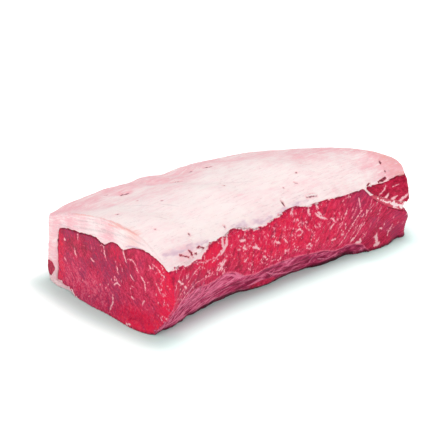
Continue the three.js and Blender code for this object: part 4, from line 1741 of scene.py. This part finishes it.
    def grain(self) -> np.ndarray:
        """Lays out each point's place against the streaks.

        Returns:
            The places across, along and below the streaks, in mm.
        """
        x, y, z = self.skin.points.T
        rest = np.stack([y - self.drift * x, x, z], 1)
        cut = np.stack([self.edge_depth() * self.cut_pace, y, x], 1)
        return np.where((self.on_cut() > 0.5)[:, None], cut, rest)

    def paint(self) -> None:
        """Paints the fat's tints, films, veins and dark marks."""
        points, normals = self.skin.points, self.skin.normals
        x, y, z = points.T
        cut = self.on_cut()
        self.skin.mark("grain", self.grain())
        self.paint_tints()
        film = nearest_streak(Face.LONG.flat(points), self.films) + 2.6 * self.tatters.at(points)
        film = eased(film, 2.2, -1.2) * (y < -45) * (1.0 - cut)
        lens = eased(nearest_streak(Face.CUT.flat(points), self.cut_films), 0.6, -0.4) * cut
        self.skin.mark("lavender", np.maximum(0.8 * film, lens))
        self.skin.mark("lines", 0.42 + 0.3 * cut)
        on_top = nearest_streak(Face.TOP.flat(points), self.top_veins)
        on_cut = nearest_streak(Face.CUT.flat(points), self.cut_veins)
        self.skin.mark("veins", np.where(cut > 0.5, on_cut, np.where(normals[:, 2] > 0.5, on_top, FAR_AWAY)))
        self.skin.mark("spots", self.spot_distance())
        self.skin.mark("slits", self.slit_distance())
        far_seam = (x > 96) & (y < 0) & (z < 51)
        bleed = self.gaps(8.0) + np.where(far_seam, -2.0, 2.4) + 9.0 * cut * (y > -56)
        self.skin.mark("edge", np.where(normals[:, 2] < 0.85, bleed, FAR_AWAY))

    def paint_tints(self) -> None:
        """Paints where the fat is flushed pink, and where it is peach."""
        x, y, z = self.skin.points.T
        cut = self.on_cut()
        wander = self.wander.at(self.skin.points)
        wedge = (x > 96) * (y < -50) * eased(z, 53, 49)
        back = 0.9 * eased(y + 12.0 * wander, -4, 56)
        right = 1.15 * eased(x + 20.0 * wander, -10, 110) * (0.3 + 0.7 * eased(y, -40, 15))
        far = 1.35 * eased(x + 10.0 * wander, 84, 132)
        stain = 1.7 * self.stain.strength(x, y)
        cut_pink = cut * (0.10 + 0.42 * eased(y, -50, 10) + 0.22 * bell(y, -4, 24) - 0.6 * eased(y, 42, 60))
        torn = 0.9 * self.torn_edge.strength(x, z) * (y < -50) * (1 - cut)
        pale = 0.5 * self.pale.strength(x, y) * (1 - cut)
        blush = np.clip(np.maximum.reduce((back, right, far, stain, cut_pink, torn)) - pale, -0.6, 1.3)
        self.skin.mark("blush", blush * (1 - wedge) + 0.1 * wedge)

        lip = 0.85 * bell(self.edge_depth(), 0.8, 2.2) * cut * eased(y, -58, -38)
        corner = 0.45 * self.corner_glow.strength(x, y) * cut
        rust = nearest_streak(Face.CUT.flat(self.skin.points), self.rust)
        rust = eased(rust, 0.9, -0.3) * eased(x, -138, -143)
        far_edge = 0.95 * eased(x + 10.0 * wander, 116, 154)
        self.skin.mark("peach", np.maximum.reduce((lip, corner, rust, far_edge)) * (1 - wedge))

    def finish(self) -> FatFinish:
        """Gives the pale fat."""
        return FatFinish("fat")


# ---------------------------------------------------------------------------------------------------------
# The studio
# ---------------------------------------------------------------------------------------------------------


@dataclass(frozen=True)
class Softbox:
    """A large soft lamp.

    Attributes:
        name: Its name.
        place: Where it hangs, in metres.
        aim: The point that it faces, in metres.
        size: The length of its sides, in metres.
        power: Its power in watts.
    """

    name: str
    place: Triple
    aim: Triple
    size: float
    power: float

    def build(self) -> None:
        """Hangs the lamp."""
        lamp = bpy.data.lights.new(self.name, "AREA")
        lamp.shape = "SQUARE"
        lamp.size = self.size
        lamp.energy = self.power
        obj = bpy.data.objects.new(self.name, lamp)
        obj.location = self.place
        obj.rotation_euler = (Vector(self.aim) - Vector(self.place)).to_track_quat("-Z", "Y").to_euler()
        bpy.context.scene.collection.objects.link(obj)


@dataclass(frozen=True)
class Studio:
    """A white floor with a painted shadow softly round the joint's foot, soft lamps, an even sky and the
    camera.
    """

    camera_place: Triple = (-0.64064, -0.73719, 0.4769)  # m
    camera_view: Triple = (0.5849, 0.6971, -0.4147)  # the way it looks
    sensor: float = 36.0  # mm across
    lens: float = 96.64  # mm
    fine_half: float = 0.32  # m from the middle that the floor's fine mesh reaches
    fine_step: float = 0.005  # m from one point of it to the next
    coarse: tuple[float, ...] = (0.5, 1.2, 4.0)  # m from the middle where the points beyond it lie
    floor_white: Colour = (0.86, 0.86, 0.86)
    floor_near: Colour = (0.66, 0.90, 0.85)  # painted tint beside the joint, against the red light it throws
    floor_drop: float = 0.0002  # m that the floor lies under the joint's foot
    floor_glow: float = 0.48  # how strongly the floor glows far from the joint
    shade_glow: float = 0.09  # the share of the glow that is left beside the joint, in its painted shadow
    shade: Point = (0.0, 30.0)  # mm from the joint where the floor's glow starts, and is full: its painted shadow
    shade_shift: Point = (-7.0, -3.0)  # mm that the painted shadow is thrown
    bounce: Point = (0.0, 60.0)  # mm over which the painted tint against the joint's red light dies out
    bounce_shift: Point = (4.0, -24.0)  # mm that it is thrown
    sky: float = 0.34  # how bright the even light is
    lamps: tuple[Softbox, ...] = (
        Softbox("overhead_softbox", (0.30, 0.40, 1.6), (0.0, 0.0, 0.0), 1.3, 16.0),
        Softbox("side_softbox", (0.55, -1.7, 0.9), (0.0, 0.0, 0.03), 1.2, 10.6),
        Softbox("end_softbox", (-1.9, -0.2, 0.8), (0.0, 0.0, 0.03), 1.2, 11.9),
    )

    def build(self) -> None:
        """Sets up the floor, lamps, sky, camera and plain colour handling."""
        self._floor()
        for lamp in self.lamps:
            lamp.build()
        self._sky()
        self._camera()
        bpy.context.scene.view_settings.view_transform = "Standard"

    def _floor(self) -> None:
        """Lays the floor just under the joint, with its glow and painted shadow marked on it."""
        far = np.array(self.coarse)
        fine = np.arange(-self.fine_half, self.fine_half + 0.5 * self.fine_step, self.fine_step)
        line = np.concatenate([-far[::-1], fine, far])
        grid = np.stack(np.meshgrid(line, line, indexing="ij"), -1).reshape(-1, 2)
        spot = np.arange(len(grid)).reshape(len(line), len(line))
        faces = np.stack([spot[:-1, :-1], spot[1:, :-1], spot[1:, 1:], spot[:-1, 1:]], -1).reshape(-1, 4)
        mesh = bpy.data.meshes.new("studio_floor")
        mesh.from_pydata([(x, y, 0.0) for x, y in grid.tolist()], [], faces.tolist())
        # painted shadow: the floor's glow is turned down near the joint
        glow = eased(self._gap(grid, self.shade_shift), *self.shade)
        # painted tint against the joint's red light on the floor
        clear = eased(self._gap(grid, self.bounce_shift), *self.bounce)
        for name, values in (("glow", glow), ("clear", clear)):
            mesh.attributes.new(name, "FLOAT", "POINT").data.foreach_set("value", values.astype(np.float32))
        mesh.materials.append(self._floor_finish())
        floor = bpy.data.objects.new("studio_floor", mesh)
        floor.location.z = -self.floor_drop
        bpy.context.scene.collection.objects.link(floor)

    def _floor_finish(self) -> bpy.types.Material:
        """Makes the floor's white, glowing more and more away from the joint, with a painted shadow and tint
        by it.

        Returns:
            The material.
        """
        sheet = ShaderSheet("studio_white")
        cloud = sheet.noise(sheet.place, (300.0, 300.0, 300.0), 1.0)
        dimmer = tuple(0.99 * part for part in self.floor_white)
        shade = sheet.over(self.floor_near, sheet.over(self.floor_white, dimmer, cloud), sheet.mark("clear"))
        least = self.shade_glow * self.floor_glow
        return sheet.surface({
            "Base Color": shade,
            "Roughness": 0.9,
            "Specular IOR Level": 0.1,
            "Emission Color": (1.0, 1.0, 1.0, 1.0),
            "Emission Strength": sheet.span(sheet.mark("glow"), 0.0, 1.0, least, self.floor_glow),
        })

    def _gap(self, grid: np.ndarray, shift: Point) -> np.ndarray:
        """Measures how far each floor point is from the joint, once that is moved by a shift.

        Args:
            grid: The floor's points, in metres.
            shift: The shift in mm.

        Returns:
            The distances in mm.
        """
        places = grid - np.array(shift) * MM
        gaps = np.full(len(grid), np.inf)
        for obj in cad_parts.values():
            tree = tree_of(obj.data)
            found = [tree.find_nearest((x, y, 0.0))[3] for x, y in places.tolist()]
            gaps = np.minimum(gaps, np.array(found) / MM)
        return gaps

    def _sky(self) -> None:
        """Lights everything evenly with white."""
        world = bpy.data.worlds.new("studio_sky")
        world.use_nodes = True
        background = world.node_tree.nodes["Background"]
        background.inputs["Color"].default_value = (1.0, 1.0, 1.0, 1.0)
        background.inputs["Strength"].default_value = self.sky
        bpy.context.scene.world = world

    def _camera(self) -> None:
        """Places the camera."""
        camera = bpy.data.cameras.new("camera")
        camera.sensor_width = self.sensor
        camera.lens = self.lens
        camera.clip_end = 20.0
        obj = bpy.data.objects.new("camera", camera)
        obj.location = self.camera_place
        obj.rotation_euler = Vector(self.camera_view).to_track_quat("-Z", "Y").to_euler()
        bpy.context.scene.collection.objects.link(obj)
        bpy.context.scene.camera = obj


def main() -> None:
    """Builds the studio and the joint's pieces."""
    logging.basicConfig(level=logging.INFO, format="%(name)s: %(message)s")
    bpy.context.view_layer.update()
    Studio().build()
    for piece in (LeanEye(), EndMuscle(), SideMuscle(), FatCap()):
        piece.build()


if __name__ == "__main__":
    main()
